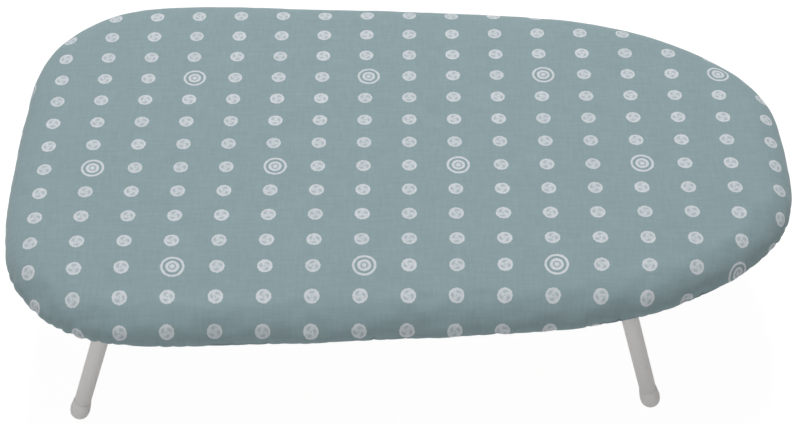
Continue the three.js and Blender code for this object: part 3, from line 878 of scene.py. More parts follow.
def creases(count, wander, seed):
    """Narrow valleys along the edge, some deep, some left out"""
    phase = count / 2 * ROUND_TURN + wander * round_noise(CREASE_DRIFT, seed)
    deep = rounded(round_noise(CREASE_PATCH, seed + 1), *CREASE_CHANCE)
    return (1 - np.abs(np.sin(phase))) ** CREASE_POWER * deep


# Layers of noise, each with its height, size and seed
WAVES = ((0.32 * MM, 75 * MM, 1), (0.14 * MM, 30 * MM, 2))
RIPPLES = ((0.9, 30 * MM, 31), (0.5, 13 * MM, 32))


def waves(cloth):
    """The slight waviness of cloth over felt"""
    return layered_noise([(x, y, 0) for x, y in cloth], WAVES)


# Broad folds of the droop, fine folds of the lip, and creases: count, wandering, seed and height
BROAD_FOLDS = {"count": 104, "wander": 4.0, "seed": 11}
BROAD_HEIGHT = 1.2 * MM
FINE_FOLDS = {"count": 184, "wander": 5.0, "seed": 21}
FINE_HEIGHT = 2.1 * MM
CREASES = {"count": 132, "wander": 3.0, "seed": 41}
CREASE_DEPTH = 1.5 * MM
RIPPLE_HEIGHT = 1.7 * MM
RIPPLE_NARROWING = 1.1

# Where each of them grows and fades, from 0 where the droop starts to 1 at the widest line and 2 at
# the hem, and how much a fade takes away where that isn't all
BROAD_GROWS = (0.62, 1.12)
BROAD_FADES = (1.75, 2.0)
BROAD_FADE_SHARE = 0.35
FINE_GROWS = (1.32, 1.8)
CORNER_GROWS = (0.65, 0.95)
CREASE_GROWS = (0.6, 0.95)
CREASE_FADES = (0.95, 1.2)
CREASE_FADE_SHARE = 0.65
RIPPLE_GROWS = (-0.12, 0.2)
RIPPLE_FADES = (0.9, 1.25)
WAVES_FADE = (0.7, 1.2)

# The near tail corner is gathered more: how far from the middle towards the tail that grows, and
# facing how far to the near side
CORNER_RANGE = (120 * MM, 270 * MM)
NEAR_FACING = (0.1, 0.6)
CORNER_FINE_SHARE = 0.35
# The broad folds' share of their height: everywhere, more where the outline bends, more at the corner.
# They are full at a bend of this radius
BROAD_EVERYWHERE = 0.475
BROAD_AT_BENDS = 0.525
BROAD_AT_CORNER = 0.245
FULL_BEND_RADIUS = 75 * MM
# The ripples' share of their height at the far side, and facing how far to the near side they grow
RIPPLE_FAR_SHARE = 0.35
RIPPLE_FACING = (-0.2, 0.6)

# How deep a valley may be beside the pad, at the lip and near the hem, and where that changes
VALLEY_ROOM_SIDE = 4 * MM
VALLEY_ROOM_LIP = 1.2 * MM
VALLEY_ROOM_HEM = 0.5 * MM
LIP_STARTS = (0.95, 1.3)
HEM_NEARS = (1.6, 1.9)
# In the roll of the hem only a share of each fold is left
HEM_STARTS = (1.9, 2.05)
HEM_LIFT_SHARE = 0.25


def gather_height(turned, run):
    """How far the gathers and ripples lift each point of the drooping edge and the lip.
    turned is 0 where the droop starts, 1 at the widest line, and 2 at the hem"""
    near_edge = rounded(-OUTWARD[:, 1], *NEAR_FACING)
    tail_corner = rounded(-EDGE[:, 0], *CORNER_RANGE) * near_edge
    tightness = np.clip(BEND * FULL_BEND_RADIUS, 0, 1)
    broad_reach = BROAD_EVERYWHERE + BROAD_AT_BENDS * tightness + BROAD_AT_CORNER * tail_corner
    broad = rounded(turned, *BROAD_GROWS) * broad_reach
    broad = broad * (1 - BROAD_FADE_SHARE * rounded(turned, *BROAD_FADES))
    fine = rounded(turned, *FINE_GROWS) + CORNER_FINE_SHARE * tail_corner * rounded(turned, *CORNER_GROWS)
    lift = BROAD_HEIGHT * broad * folds(**BROAD_FOLDS) + FINE_HEIGHT * fine * folds(**FINE_FOLDS)
    crease_reach = rounded(turned, *CREASE_GROWS) * (1 - CREASE_FADE_SHARE * rounded(turned, *CREASE_FADES))
    lift = lift - CREASE_DEPTH * near_edge * crease_reach * creases(**CREASES)

    # Ripples of the drooping edge, a little narrower across it than along it
    rippled = rounded(turned, *RIPPLE_GROWS) * (1 - rounded(turned, *RIPPLE_FADES))
    near_side = RIPPLE_FAR_SHARE + (1 - RIPPLE_FAR_SHARE) * rounded(-OUTWARD[:, 1], *RIPPLE_FACING)
    for row in range(len(run)):
        if rippled[row, 0] > 0:
            places = np.column_stack([ROUND_CIRCLE, run[row] * RIPPLE_NARROWING])
            lift[row] += RIPPLE_HEIGHT * near_side * rippled[row, 0] * layered_noise(places, RIPPLES)

    # Under the rim the valleys stay shallow, so that they don't reach the tube or the elastic
    room = VALLEY_ROOM_SIDE + (VALLEY_ROOM_LIP - VALLEY_ROOM_SIDE) * rounded(turned, *LIP_STARTS)
    room = room + (VALLEY_ROOM_HEM - VALLEY_ROOM_LIP) * rounded(turned, *HEM_NEARS)
    lift = np.where(lift < 0, room * np.tanh(lift / room), lift)
    hem = rounded(turned, *HEM_STARTS)
    return lift * (1 - hem) + HEM_LIFT_SHARE * np.clip(lift, 0, 1) * hem


def make_cover():
    """The printed cloth: its piece, its cut line spread flat and its rows of points"""
    inset, height = cover_profile()
    rows, columns = inset.shape
    step = np.hypot(np.diff(inset, axis=0), np.diff(height, axis=0))
    run = np.vstack([np.zeros(columns), np.cumsum(step, axis=0)])
    start = ring_at(inset[0])
    cloth = start[None] + OUTWARD[None] * run[..., None]
    facing_in, facing_up = profile_facing(inset, height)

    row = np.arange(rows)[:, None]
    lip_rows = rows - 1 - TOP_ROWS - HEM_ROWS
    turned = (row - EASE_ROWS) / DROOP_ROWS
    turned = np.where(row <= TOP_ROWS, turned, 1 + (row - TOP_ROWS) / lip_rows)
    lift = gather_height(turned, run)
    lift += waves(cloth.reshape(-1, 2)).reshape(rows, columns) * (1 - rounded(turned, *WAVES_FADE))
    inset, height = inset + facing_in * lift, height + facing_up * lift

    # The flat top, filled inside the first row
    places, faces = fill_ring(start, TOP_POINT_SPACING, TOP_POINT_MARGIN)
    middle = places[columns:]
    middle_up = BOARD_TOP + waves(middle)
    band = np.dstack([EDGE[None] - OUTWARD[None] * inset[..., None], height])
    points = np.vstack([band.reshape(-1, 3), np.column_stack([middle, middle_up])])
    shift = (rows - 1) * columns
    top_faces = [tuple(v if v < columns else v + shift for v in face) for face in faces]
    piece = new_piece("cloth_cover", points, grid_faces(rows, columns) + top_faces, [PRINTED_COTTON])

    # Where each point lies in the print, which is drawn together and down at the near edge
    flat = np.vstack([cloth.reshape(-1, 2), middle])
    drawn = PRINT_DRAW_IN * rounded(-flat[:, 1], *PRINT_DRAW_RANGE)
    flat[:, 0] += drawn * (flat[:, 0] - PRINT_DRAW_MIDDLE)
    flat[:, 1] += PRINT_PULL * rounded(-flat[:, 1], *PRINT_PULL_RANGE)
    layer = piece.data.uv_layers.new(name="cloth")
    corners = np.zeros(len(piece.data.loops), np.int32)
    piece.data.loops.foreach_get("vertex_index", corners)
    layer.data.foreach_set("uv", flat[corners].astype(np.float32).ravel())
    return piece, cloth[-1], band


def thicken(piece, thickness, inner_material):
    """Gives the sheet its thickness, inwards, with another finish on the inner side"""
    piece.data.materials.append(inner_material)
    solid = piece.modifiers.new("cloth_thickness", "SOLIDIFY")
    solid.thickness = thickness
    solid.offset = -1
    solid.use_rim = True
    solid.material_offset = 1


cover, cut_line, cover_rows = make_cover()
thicken(cover, CLOTH_THICKNESS, COTTON_REVERSE)
fit(cover, "board", "cover_cloth", "cover")


def make_stitching():
    """The line of stitches under the board that closes the hem over the elastic"""
    insets = np.linalg.norm((cover_rows[..., :2] - EDGE[None])[:, 0], axis=1)
    below = TOP_ROWS + 1
    row = below + int(np.argmin(np.abs(insets[below:] - STITCH_INSET)))
    line = np.vstack([cover_rows[row], cover_rows[row, :1]])
    along = np.concatenate([[0], np.cumsum(np.linalg.norm(np.diff(line, axis=0), axis=1))])
    count = int(along[-1] / STITCH_PITCH)
    points, faces = [], []
    for stitch in range(count):
        start = stitch / count * along[-1]
        at = start + STITCH_LENGTH * np.linspace(0, 1, len(STITCH_HANG))
        centres = np.stack([np.interp(at, along, line[:, k]) for k in range(3)], axis=1)
        centres[:, 2] -= STITCH_RADIUS * np.array(STITCH_HANG)
        way = Vector(centres[-1] - centres[0]).normalized()
        side = way.cross(Vector((0, 0, 1))).normalized()
        sides_of = [(side, side.cross(way))] * len(centres)
        first = len(points)
        points += list(tube_rings(centres, sides_of, STITCH_RADIUS, STITCH_SIDES))
        last = len(points) - STITCH_SIDES
        faces += grid_faces(len(centres), STITCH_SIDES, first=first)
        faces.append(tuple(range(first, first + STITCH_SIDES)))
        faces.append(tuple(reversed(range(last, last + STITCH_SIDES))))
    piece = new_piece("hem_stitching", points, faces, [STITCH_THREAD])
    turn_outward(piece)
    return fit(piece, "board", "cover_cloth")


stitching = make_stitching()


# Pad

def make_pad():
    """The felt under the cloth, down to the widest line and in again over the rim to the mesh"""
    inset, height = cover_profile()
    inset, height = inset[:TOP_ROWS + 1], height[:TOP_ROWS + 1]
    facing_in, facing_up = profile_facing(inset, height)
    shrink = CLOTH_THICKNESS + PAD_SKIN_GAP
    inset, height = inset - facing_in * shrink, height - facing_up * shrink
    wrap = RIM_RADIUS + PAD_RIM_GAP
    angle = np.linspace(QUARTER_TURN, PAD_WRAP_START, PAD_WRAP_ROWS + 1)
    under = [(RIM_INSET - wrap * math.sin(a), RIM_HEIGHT + wrap * math.cos(a)) for a in angle]
    under = np.array([*under, (RIM_INSET - PAD_REST_OUTSET, PAD_REST)])
    level = np.zeros((1, inset.shape[1]))
    inset = np.vstack([inset, RIM_INSET - wrap + level, under[:, :1] + level])
    height = np.vstack([height, height[-1:], under[:, 1:] + level])
    rows, columns = inset.shape
    band = EDGE[None] - OUTWARD[None] * inset[..., None]
    points = [np.dstack([band, height]).reshape(-1, 3)]
    faces = grid_faces(rows, columns)
    count = rows * columns
    for row, up in ((0, height[0, 0]), (rows - 1, PAD_REST)):
        places, fill = fill_ring(band[row], PAD_POINT_SPACING, PAD_POINT_MARGIN)
        points.append(np.column_stack([places[columns:], np.full(len(places) - columns, up)]))
        for face in fill:
            corners = [v + row * columns if v < columns else v - columns + count for v in face]
            faces.append(tuple(corners if row == 0 else corners[::-1]))
        count += len(places) - columns
    piece = new_piece("felt_pad", np.vstack(points), faces, [NEEDLED_FELT], math.radians(50))
    turn_outward(piece)
    return piece


pad = fit(make_pad(), "board", "pad_felt", "pad")


# Hem

def make_ring_tube(name, inset, height, radius, sides, material):
    """A round bar that follows the outline"""
    ring = ring_at(inset)
    centres = np.column_stack([ring, np.full(len(ring), height)])
    sides_of = [((x, y, 0), (0, 0, 1)) for x, y in OUTWARD]
    points = tube_rings(centres, sides_of, radius, sides)
    piece = new_piece(name, points, grid_faces(len(ring), sides, join_rows=True), [material])
    turn_outward(piece)
    return piece


def spread_along(piece, sides, radius):
    """Cloth places for a ring tube: the way along it and the way round it"""
    layer = piece.data.uv_layers.new(name="cloth")
    for loop in piece.data.loops:
        station, side = divmod(loop.vertex_index, sides)
        layer.data[loop.index].uv = (ROUND_AT[station], side / sides * FULL_TURN * radius)


elastic = make_ring_tube(
    "hem_elastic_cord", HEM_INSET, HEM_HEIGHT, ELASTIC_RADIUS, ELASTIC_SIDES, BRAIDED_ELASTIC,
)
spread_along(elastic, ELASTIC_SIDES, ELASTIC_RADIUS)
fit(elastic, "board", "hem_elastic", "hem_elastic")


# Rim

rim = make_ring_tube("bent_rim", RIM_INSET, RIM_HEIGHT, RIM_RADIUS, RIM_SIDES, COATED_STEEL)
fit(rim, "board", "board_steel", "rim_tube")


# Steel mesh top

def make_expanded_mesh():
    """A sheet of steel with rows of diamond openings inside a plain border"""
    ring = ring_at(RIM_INSET)
    clear = ring_at(RIM_INSET + MESH_BORDER)
    half_x, half_y = DIAMOND_LENGTH / 2, DIAMOND_WIDTH / 2
    slant = math.hypot(half_x, half_y)
    hole_share = 1 - STRAND / 2 * slant / (half_x * half_y)
    chamfer_share = hole_share + STRAND_CHAMFER * slant / (half_x * half_y)
    columns = math.ceil(BOARD_LENGTH / DIAMOND_LENGTH)
    rows = math.ceil(BOARD_WIDTH / DIAMOND_WIDTH) * 2
    unit = ((-half_x, 0), (0, -half_y), (half_x, 0), (0, half_y))
    cells = []
    for row in range(-rows, rows + 1):
        for column in range(-columns, columns + 1):
            x = (column + (row % 2) / 2) * DIAMOND_LENGTH
            y = row * half_y
            cell = np.array([(x + dx, y + dy) for dx, dy in unit])
            if inside(cell, clear).all():
                cells.append((x, y))
    points, faces, numbers = [], [], {}

    def number(x, y, z):
        key = (round(x / MM, 3), round(y / MM, 3), round(z / MM, 3))
        if key not in numbers:
            numbers[key] = len(points)
            points.append((x, y, z))
        return numbers[key]

    levels = (
        (1, MESH_TOP), (chamfer_share, MESH_TOP), (hole_share, MESH_TOP - STRAND_CHAMFER),
        (hole_share, MESH_BOTTOM + STRAND_CHAMFER), (chamfer_share, MESH_BOTTOM), (1, MESH_BOTTOM),
    )
    edge_uses = {}
    for x, y in cells:
        loops = [[number(x + dx * share, y + dy * share, z) for dx, dy in unit] for share, z in levels]
        for upper, lower in zip(loops, loops[1:]):
            for k in range(4):
                after = (k + 1) % 4
                faces.append((upper[k], upper[after], lower[after], lower[k]))
        for k in range(4):
            pair = (loops[0][k], loops[0][(k + 1) % 4])
            edge_uses.setdefault(tuple(sorted(pair)), []).append(pair)

    # The plain border, between the outer cells and the outline
    loose = [uses[0] for uses in edge_uses.values() if len(uses) == 1]
    follow = dict(loose)
    first = loose[0][0]
    loop = [first]
    while follow[loop[-1]] != first:
        loop.append(follow[loop[-1]])
    inner = [Vector(points[v]) for v in loop]
    outer = [Vector((x, y, MESH_TOP)) for x, y in ring]
    together = outer + inner
    drop = Vector((0, 0, MESH_BOTTOM - MESH_TOP))
    ids = {True: [number(*p) for p in together], False: [number(*(p + drop)) for p in together]}
    for top in (True, False):
        for face in geometry.tessellate_polygon([outer, inner]):
            corners = [ids[top][v] for v in face]
            faces.append(tuple(corners))
    for k in range(len(outer)):
        after = (k + 1) % len(outer)
        faces.append((ids[True][k], ids[True][after], ids[False][after], ids[False][k]))
    piece = new_piece("expanded_mesh", points, faces, [COATED_STEEL], math.radians(25))
    turn_outward(piece)
    return piece


fit(make_expanded_mesh(), "board", "board_steel", "mesh_top")


# Supports of the legs: channels, bearings, rivets and stops

LEG_RADIUS = 6.5 * MM
CHANNEL_WALL = 1.5 * MM
CHANNEL_BEND = 2.4 * MM
BEARING_PLAY = 0.35 * MM
STRAP_THICKNESS = 1.5 * MM
SEAT_GAP = 0.3 * MM
PLATE_THICKNESS = 1.5 * MM
RIVET_HEAD_RADIUS = 3.35 * MM
RIVET_HEAD_HEIGHT = 1.8 * MM
RIVET_RADIUS = 2 * MM
RIVET_HOLE_RADIUS = 2.3 * MM
# The bend of a stop plate, and how far its middle lies out and down from the sharp corner
STOP_BEND = 1.2 * MM
STOP_BEND_OUT = 0.35 * STOP_BEND
STOP_BEND_DOWN = 0.25 * STOP_BEND
# How wide the softened edges are
SHEET_EDGE = 0.25 * MM
BLOCK_EDGE = 0.7 * MM
STRAP_EDGE = 0.3 * MM
# How finely the round forms are divided
CHANNEL_BEND_STEPS = 5
GROOVE_STEPS = 20
STRAP_STEPS = 22
DOME_STEPS = 6
RIVET_SIDES = 32
DRILL_SIDES = 24
# How far a drill goes past both heights
DRILL_OVERRUN = 5 * MM


def place_of(listed, name):
    """Where the joint or mount with a name lies"""
    return next(Vector(one["pos_m"]) for one in listed if one["name"] == name)


def arc(centre_x, centre_z, radius, start, end, steps):
    """Points of an arc in X and Z, angles in degrees"""
    angles = np.radians(np.linspace(start, end, steps + 1))
    return [(centre_x + radius * math.cos(a), centre_z + radius * math.sin(a)) for a in angles]


def bar_along_y(name, profile, ends, material, edge):
    """A profile in X and Z carried along Y. ends gives the lowest and highest Y of a profile point"""
    count = len(profile)
    points = []
    for far in (0, 1):
        points += [(x, ends(x)[far], z) for x, z in profile]
    faces = [tuple(range(count)), tuple(reversed(range(count, 2 * count)))]
    faces += [(k, (k + 1) % count, count + (k + 1) % count, count + k) for k in range(count)]
    piece = new_piece(name, points, faces, [material])
    turn_outward(piece)
    soften(piece, edge)
    piece.data.set_sharp_from_angle(angle=math.radians(35))
    return piece


def soften(piece, width):
    """Rounds the edges where faces meet at an angle"""
    modifier = piece.modifiers.new("soft_edges", "BEVEL")
    modifier.width = width
    modifier.segments = 2
    modifier.limit_method = "ANGLE"
    modifier.angle_limit = math.radians(50)


def drill(piece, rivets, bottom, top):
    """Cuts upright holes for rivets, from under one height to over another"""
    angle = np.arange(DRILL_SIDES) / DRILL_SIDES * FULL_TURN
    hole = RIVET_HOLE_RADIUS * np.column_stack([np.cos(angle), np.sin(angle)])
    faces = grid_faces(2, DRILL_SIDES) + [tuple(range(DRILL_SIDES))]
    faces.append(tuple(reversed(range(DRILL_SIDES, 2 * DRILL_SIDES))))
    for x, y in rivets:
        levels = (bottom - DRILL_OVERRUN, top + DRILL_OVERRUN)
        points = [(x + dx, y + dy, z) for z in levels for dx, dy in hole]
        cutter = new_piece("cutter", points, faces, [])
        turn_outward(cutter)
        cut = piece.modifiers.new("hole", "BOOLEAN")
        cut.operation = "DIFFERENCE"
        cut.solver = "EXACT"
        cut.object = cutter
        bpy.context.view_layer.objects.active = piece
        bpy.ops.object.modifier_move_to_index(modifier="hole", index=0)
        bpy.ops.object.modifier_apply(modifier="hole")
        bpy.data.objects.remove(cutter)


def make_channel(end, rivets):
    """A U-shaped channel, web down, with its ends cut to the curve of the rim"""
    low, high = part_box(f"{end}_channel")
    free_ring = ring_at(RIM_INSET + RIM_RADIUS + SEAT_GAP)
    wall, bend, inner_bend = CHANNEL_WALL, CHANNEL_BEND, CHANNEL_BEND - CHANNEL_WALL
    left, right, up = low.x + bend, high.x - bend, low.z + bend
    profile = [(low.x, high.z)]
    profile += arc(left, up, bend, 180, 270, CHANNEL_BEND_STEPS)
    profile += arc(right, up, bend, 270, 360, CHANNEL_BEND_STEPS)
    profile += [(high.x, high.z), (high.x - wall, high.z)]
    profile += arc(right, up, inner_bend, 360, 270, CHANNEL_BEND_STEPS)
    profile += arc(left, up, inner_bend, 270, 180, CHANNEL_BEND_STEPS)
    profile.append((low.x + wall, high.z))

    def ends(x):
        reach = half_width_at(x, free_ring)
        return -reach, reach

    piece = bar_along_y(f"{end}_cross_channel", profile, ends, COATED_STEEL, SHEET_EDGE)
    drill(piece, rivets, low.z, low.z)
    return fit(piece, "board", "board_steel", f"{end}_channel")


def make_block(end, side, pivot, rivets):
    """The moulded block over the crossbar, with its groove"""
    low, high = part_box(f"{end}_{side}_bearing_block")
    profile = [(low.x, pivot.z), (low.x, high.z), (high.x, high.z), (high.x, pivot.z)]
    profile += arc(pivot.x, pivot.z, LEG_RADIUS + BEARING_PLAY, 0, 180, GROOVE_STEPS)
    name = f"{end}_{side}_pivot_block"
    piece = bar_along_y(name, profile, lambda x: (low.y, high.y), BLOCK_PLASTIC, BLOCK_EDGE)
    drill(piece, rivets, low.z, high.z)
    return fit(piece, "board", "bearing_plastic", f"{end}_{side}_bearing_block")


def make_strap(end, side, pivot, rivets):
    """The saddle strap under the crossbar, a bent strip"""
    low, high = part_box(f"{end}_{side}_saddle_strap")
    inner = LEG_RADIUS + BEARING_PLAY
    outer = inner + STRAP_THICKNESS
    top = pivot.z - SEAT_GAP
    bottom = top - STRAP_THICKNESS
    inner_angle = math.degrees(math.asin(SEAT_GAP / inner))
    outer_angle = math.degrees(math.asin((SEAT_GAP + STRAP_THICKNESS) / outer))
    profile = [(low.x, top)]
    profile += arc(pivot.x, pivot.z, inner, 180 + inner_angle, 360 - inner_angle, STRAP_STEPS)
    profile += [(high.x, top), (high.x, bottom)]
    profile += arc(pivot.x, pivot.z, outer, 360 - outer_angle, 180 + outer_angle, STRAP_STEPS)
    profile.append((low.x, bottom))
    name = f"{end}_{side}_strap"
    piece = bar_along_y(name, profile, lambda x: (low.y, high.y), ZINC_STEEL, STRAP_EDGE)
    drill(piece, rivets, bottom, top)
    return fit(piece, "board", "zinc_steel", f"{end}_{side}_saddle_strap")


def lathe(name, profile, place, material, sides, smooth_angle):
    """A profile of radii and heights turned about an upright axis. It starts and ends on the axis"""
    angle = np.arange(sides) / sides * FULL_TURN
    points = [(0, 0, profile[0][1])]
    for radius, height in profile[1:-1]:
        points += [(radius * math.cos(a), radius * math.sin(a), height) for a in angle]
    points.append((0, 0, profile[-1][1]))
    rows = len(profile) - 2
    last = len(points) - 1
    faces = grid_faces(rows, sides, first=1)
    faces += [(0, 1 + k, 1 + (k + 1) % sides) for k in range(sides)]
    top = 1 + (rows - 1) * sides
    faces += [(last, top + (k + 1) % sides, top + k) for k in range(sides)]
    piece = new_piece(name, np.array(points) + np.array(place), faces, [material])
    turn_outward(piece)
    piece.data.set_sharp_from_angle(angle=smooth_angle)
    return piece


def make_rivet(end, side, place_name):
    """A rivet with a dome at both ends"""
    node = f"{end}_{side}_{place_name}_rivet"
    low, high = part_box(node)
    base = Vector(((low.x + high.x) / 2, (low.y + high.y) / 2, 0))
    seat, clinch = low.z + RIVET_HEAD_HEIGHT, high.z - RIVET_HEAD_HEIGHT
    angles = np.linspace(0, QUARTER_TURN, DOME_STEPS + 1)
    dome = [(RIVET_HEAD_RADIUS * math.sin(a), RIVET_HEAD_HEIGHT * (1 - math.cos(a))) for a in angles]
    profile = [(r, low.z + z) for r, z in dome]
    profile += [(RIVET_RADIUS, seat), (RIVET_RADIUS, clinch)]
    profile += [(r, high.z - z) for r, z in reversed(dome)]
    piece = lathe(f"{node}_body", profile, base, ZINC_STEEL, RIVET_SIDES, math.radians(40))
    return fit(piece, "board", "zinc_steel", node)


def make_stop(end, side, pivot, outward_x, splay):
    """The bent plate beside an upright that it leans on when the leg is open"""
    low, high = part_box(f"{end}_{side}_leg_stop")
    lean = math.tan(splay)
    slant = PLATE_THICKNESS / math.cos(splay)

    def leg_face(z):
        return (LEG_RADIUS + SEAT_GAP) / math.cos(splay) - (z - pivot.z) * lean

    top, under = high.z, high.z - PLATE_THICKNESS
    far = (high.x - pivot.x) if outward_x > 0 else (pivot.x - low.x)
    profile = [
        (far, top),
        (leg_face(top) + STOP_BEND, top),
        (leg_face(top) + STOP_BEND_OUT, top - STOP_BEND_DOWN),
        (leg_face(top - STOP_BEND), top - STOP_BEND),
        (leg_face(low.z), low.z),
        (leg_face(low.z) + slant, low.z),
        (leg_face(under) + slant, under),
        (far, under),
    ]
    profile = [(pivot.x + outward_x * x, z) for x, z in profile]
    name = f"{end}_{side}_stop_plate"
    piece = bar_along_y(name, profile, lambda x: (low.y, high.y), COATED_STEEL, SHEET_EDGE)
    return fit(piece, "board", "board_steel", f"{end}_{side}_leg_stop")


WELD_RADIUS = 1.15 * MM
WELD_RIPPLE = 1.3 * MM
WELD_MARGIN = 1.2 * MM
WELD_SIDES = 12
WELD_RIPPLE_STEPS = 8
# The radius between two ridges, and what a ridge and the unevenness may add, as shares of the radius
WELD_LEAST = 0.84
WELD_RIDGE = 0.1
WELD_UNEVEN = 0.1
WELD_WANDER = 0.15 * MM
# How abruptly the ends are rounded, and the share of the radius that is left at the tip
WELD_END_POWER = 8
WELD_TIP = 0.05


def weld_bead(start, end, seed):
    """A ridged bead between two places, rounded at both ends: its points and faces"""
    length = (end - start).length
    along = (end - start).normalized()
    side = along.cross(Vector((0, 0, 1)))
    rows = int(length / WELD_RIPPLE * WELD_RIPPLE_STEPS)
    centres, radii = [], []
    for row in range(rows + 1):
        share = row / rows
        ridge = abs(math.sin(math.pi * share * length / WELD_RIPPLE))
        end_round = math.sqrt(max(0.0, 1 - abs(2 * share - 1) ** WELD_END_POWER))
        wander = noise.noise(Vector((seed * 7.3, share * 5, 0)))
        swell = WELD_LEAST + WELD_RIDGE * ridge + WELD_UNEVEN * wander
        centres.append(start + along * length * share + side * WELD_WANDER * wander)
        radii.append(WELD_RADIUS * swell * max(end_round, WELD_TIP))
    angle = np.arange(WELD_SIDES) / WELD_SIDES * FULL_TURN
    ring = np.outer(np.cos(angle), side) + np.outer(np.sin(angle), (0, 0, 1))
    points = np.vstack([np.array(centre) + radius * ring for centre, radius in zip(centres, radii)])
    faces = grid_faces(rows + 1, WELD_SIDES)
    last = rows * WELD_SIDES
    faces += [tuple(range(WELD_SIDES)), tuple(reversed(range(last, last + WELD_SIDES)))]
    return points, faces


def make_stop_welds():
    """The beads that hold the stop plates to the channels, one along each side of a plate"""
    points, faces = [], []
    stops = [(end, side) for end in ("tail", "nose") for side in ("near", "far")]
    for count, (end, side) in enumerate(stops):
        plate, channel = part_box(f"{end}_{side}_leg_stop"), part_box(f"{end}_channel")
        low_x = max(plate[0].x, channel[0].x + CHANNEL_BEND) + WELD_MARGIN
        high_x = min(plate[1].x, channel[1].x - CHANNEL_BEND) - WELD_MARGIN
        for y in (plate[0].y, plate[1].y):
            start, stop = Vector((low_x, y, plate[1].z)), Vector((high_x, y, plate[1].z))
            more_points, more_faces = weld_bead(start, stop, 2 * count + (y > 0))
            faces += [tuple(v + len(points) for v in face) for face in more_faces]
            points += list(more_points)
    piece = new_piece("stop_welds", points, faces, [COATED_STEEL], math.radians(80))
    turn_outward(piece)
    return fit(piece, "board", "board_steel")


# Legs

BEND_RADIUS = 26 * MM
TUBE_WALL = 1.2 * MM
CAP_RADIUS = 7.6 * MM
CAP_SLEEVE = 14 * MM
CAP_FLOOR = 1.2 * MM
CAP_FLAT = 0.5 * MM
CAP_LIP_GAP = 0.05 * MM
# The chamfer inside the lip
CAP_LIP_OUT = 0.12 * MM
CAP_LIP_DOWN = 0.2 * MM
# How much wider the sleeve is than the ball at its widest
CAP_BULGE = 1.03
# Radii as shares of the widest, and heights, from the ball up to the lip that hugs the tube
CAP_FLARE = (
    (1, 2 * MM), (0.99, 4 * MM), (0.965, 6.5 * MM), (0.93, 9 * MM), (0.895, 11.5 * MM), (0.87, 13.3 * MM),
    (0.858, 13.85 * MM),
)
TUBE_SIDES = 28
BEND_STEPS = 14
CAP_SIDES = 40
CAP_BALL_STEPS = 11


def make_leg_frame(end, pivot, outward_x, splay, half_spacing, drop):
    """An upside-down U of tube, with its crossbar on the pivot"""
    straight = half_spacing - BEND_RADIUS
    line = [(half_spacing, -drop, QUARTER_TURN)]
    for angle in np.linspace(QUARTER_TURN, 0, BEND_STEPS + 1):
        line.append((straight + BEND_RADIUS * math.sin(angle), BEND_RADIUS * (math.cos(angle) - 1), angle))
    line += [(-y, z, -angle) for y, z, angle in reversed(line)]
    down = Vector((outward_x * math.sin(splay), 0, -math.cos(splay)))
    across = Vector((math.cos(splay), 0, outward_x * math.sin(splay)))
    centres = [pivot + Vector((0, y, 0)) - down * z for y, z, _ in line]
    sides_of = [(across, Vector((0, math.sin(a), 0)) - down * math.cos(a)) for *_, a in line]
    outside = tube_rings(centres, sides_of, LEG_RADIUS, TUBE_SIDES)
    hollow = tube_rings(centres[::-1], sides_of[::-1], LEG_RADIUS - TUBE_WALL, TUBE_SIDES)
    points = np.vstack([outside, hollow])
    faces = grid_faces(2 * len(centres), TUBE_SIDES, join_rows=True)
    piece = new_piece(f"{end}_bent_legs", points, faces, [COATED_LEG], math.radians(40))
    turn_outward(piece)
    return fit(piece, f"{end}_leg", "leg_steel", f"{end}_leg_frame")


def make_cap(end, side, foot, outward_x, splay):
    """A round-ended sleeve pushed on to the foot of an upright, flat where it stands"""
    bore = LEG_RADIUS + CAP_LIP_GAP
    angles = np.linspace(0, QUARTER_TURN, CAP_BALL_STEPS + 1)
    profile = [(CAP_RADIUS * math.sin(a), -CAP_RADIUS * math.cos(a)) for a in angles]
    profile += [(CAP_BULGE * CAP_RADIUS * r, z) for r, z in CAP_FLARE]
    profile += [(bore + CAP_LIP_OUT, CAP_SLEEVE), (bore, CAP_SLEEVE - CAP_LIP_DOWN)]
    profile += [(bore, CAP_FLOOR), (0, CAP_FLOOR)]
    piece = lathe(f"{end}_{side}_foot", profile, (0, 0, 0), CAP_PLASTIC, CAP_SIDES, math.radians(60))
    turn = Matrix.Rotation(-outward_x * splay, 4, "Y")
    piece.data.transform(Matrix.Translation(foot) @ turn)
    for vertex in piece.data.vertices:
        vertex.co.z = max(vertex.co.z, 0)
    return fit(piece, f"{end}_leg", "foot_plastic", f"{end}_{side}_foot_cap")


def make_end(end, outward_x):
    """Everything that carries one leg frame, and the frame with its feet"""
    pivot = place_of(frame["joints"], f"{end}_leg_fold")
    foot_face = place_of(frame["record"]["mounts"], f"{end}_far_foot_face")
    half_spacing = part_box(f"{end}_leg_frame")[1].y - LEG_RADIUS
    drop = pivot.z - CAP_RADIUS + CAP_FLAT
    splay = math.atan(abs(foot_face.x - pivot.x) / drop)
    length = drop / math.cos(splay)
    rivets = {}
    for side in ("near", "far"):
        for place_name in ("outer", "inner"):
            low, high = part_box(f"{end}_{side}_{place_name}_rivet")
            rivets.setdefault(side, []).append(((low.x + high.x) / 2, (low.y + high.y) / 2))
            make_rivet(end, side, place_name)
        make_block(end, side, pivot, rivets[side])
        make_strap(end, side, pivot, rivets[side])
        make_stop(end, side, pivot, outward_x, splay)
    make_channel(end, rivets["near"] + rivets["far"])
    make_leg_frame(end, pivot, outward_x, splay, half_spacing, length - CAP_FLOOR - SEAT_GAP)
    for side, sign in (("near", -1), ("far", 1)):
        foot = pivot + Vector((outward_x * math.sin(splay) * length, sign * half_spacing, -drop))
        make_cap(end, side, foot, outward_x, splay)


make_end("tail", -1)
make_end("nose", 1)
make_stop_welds()
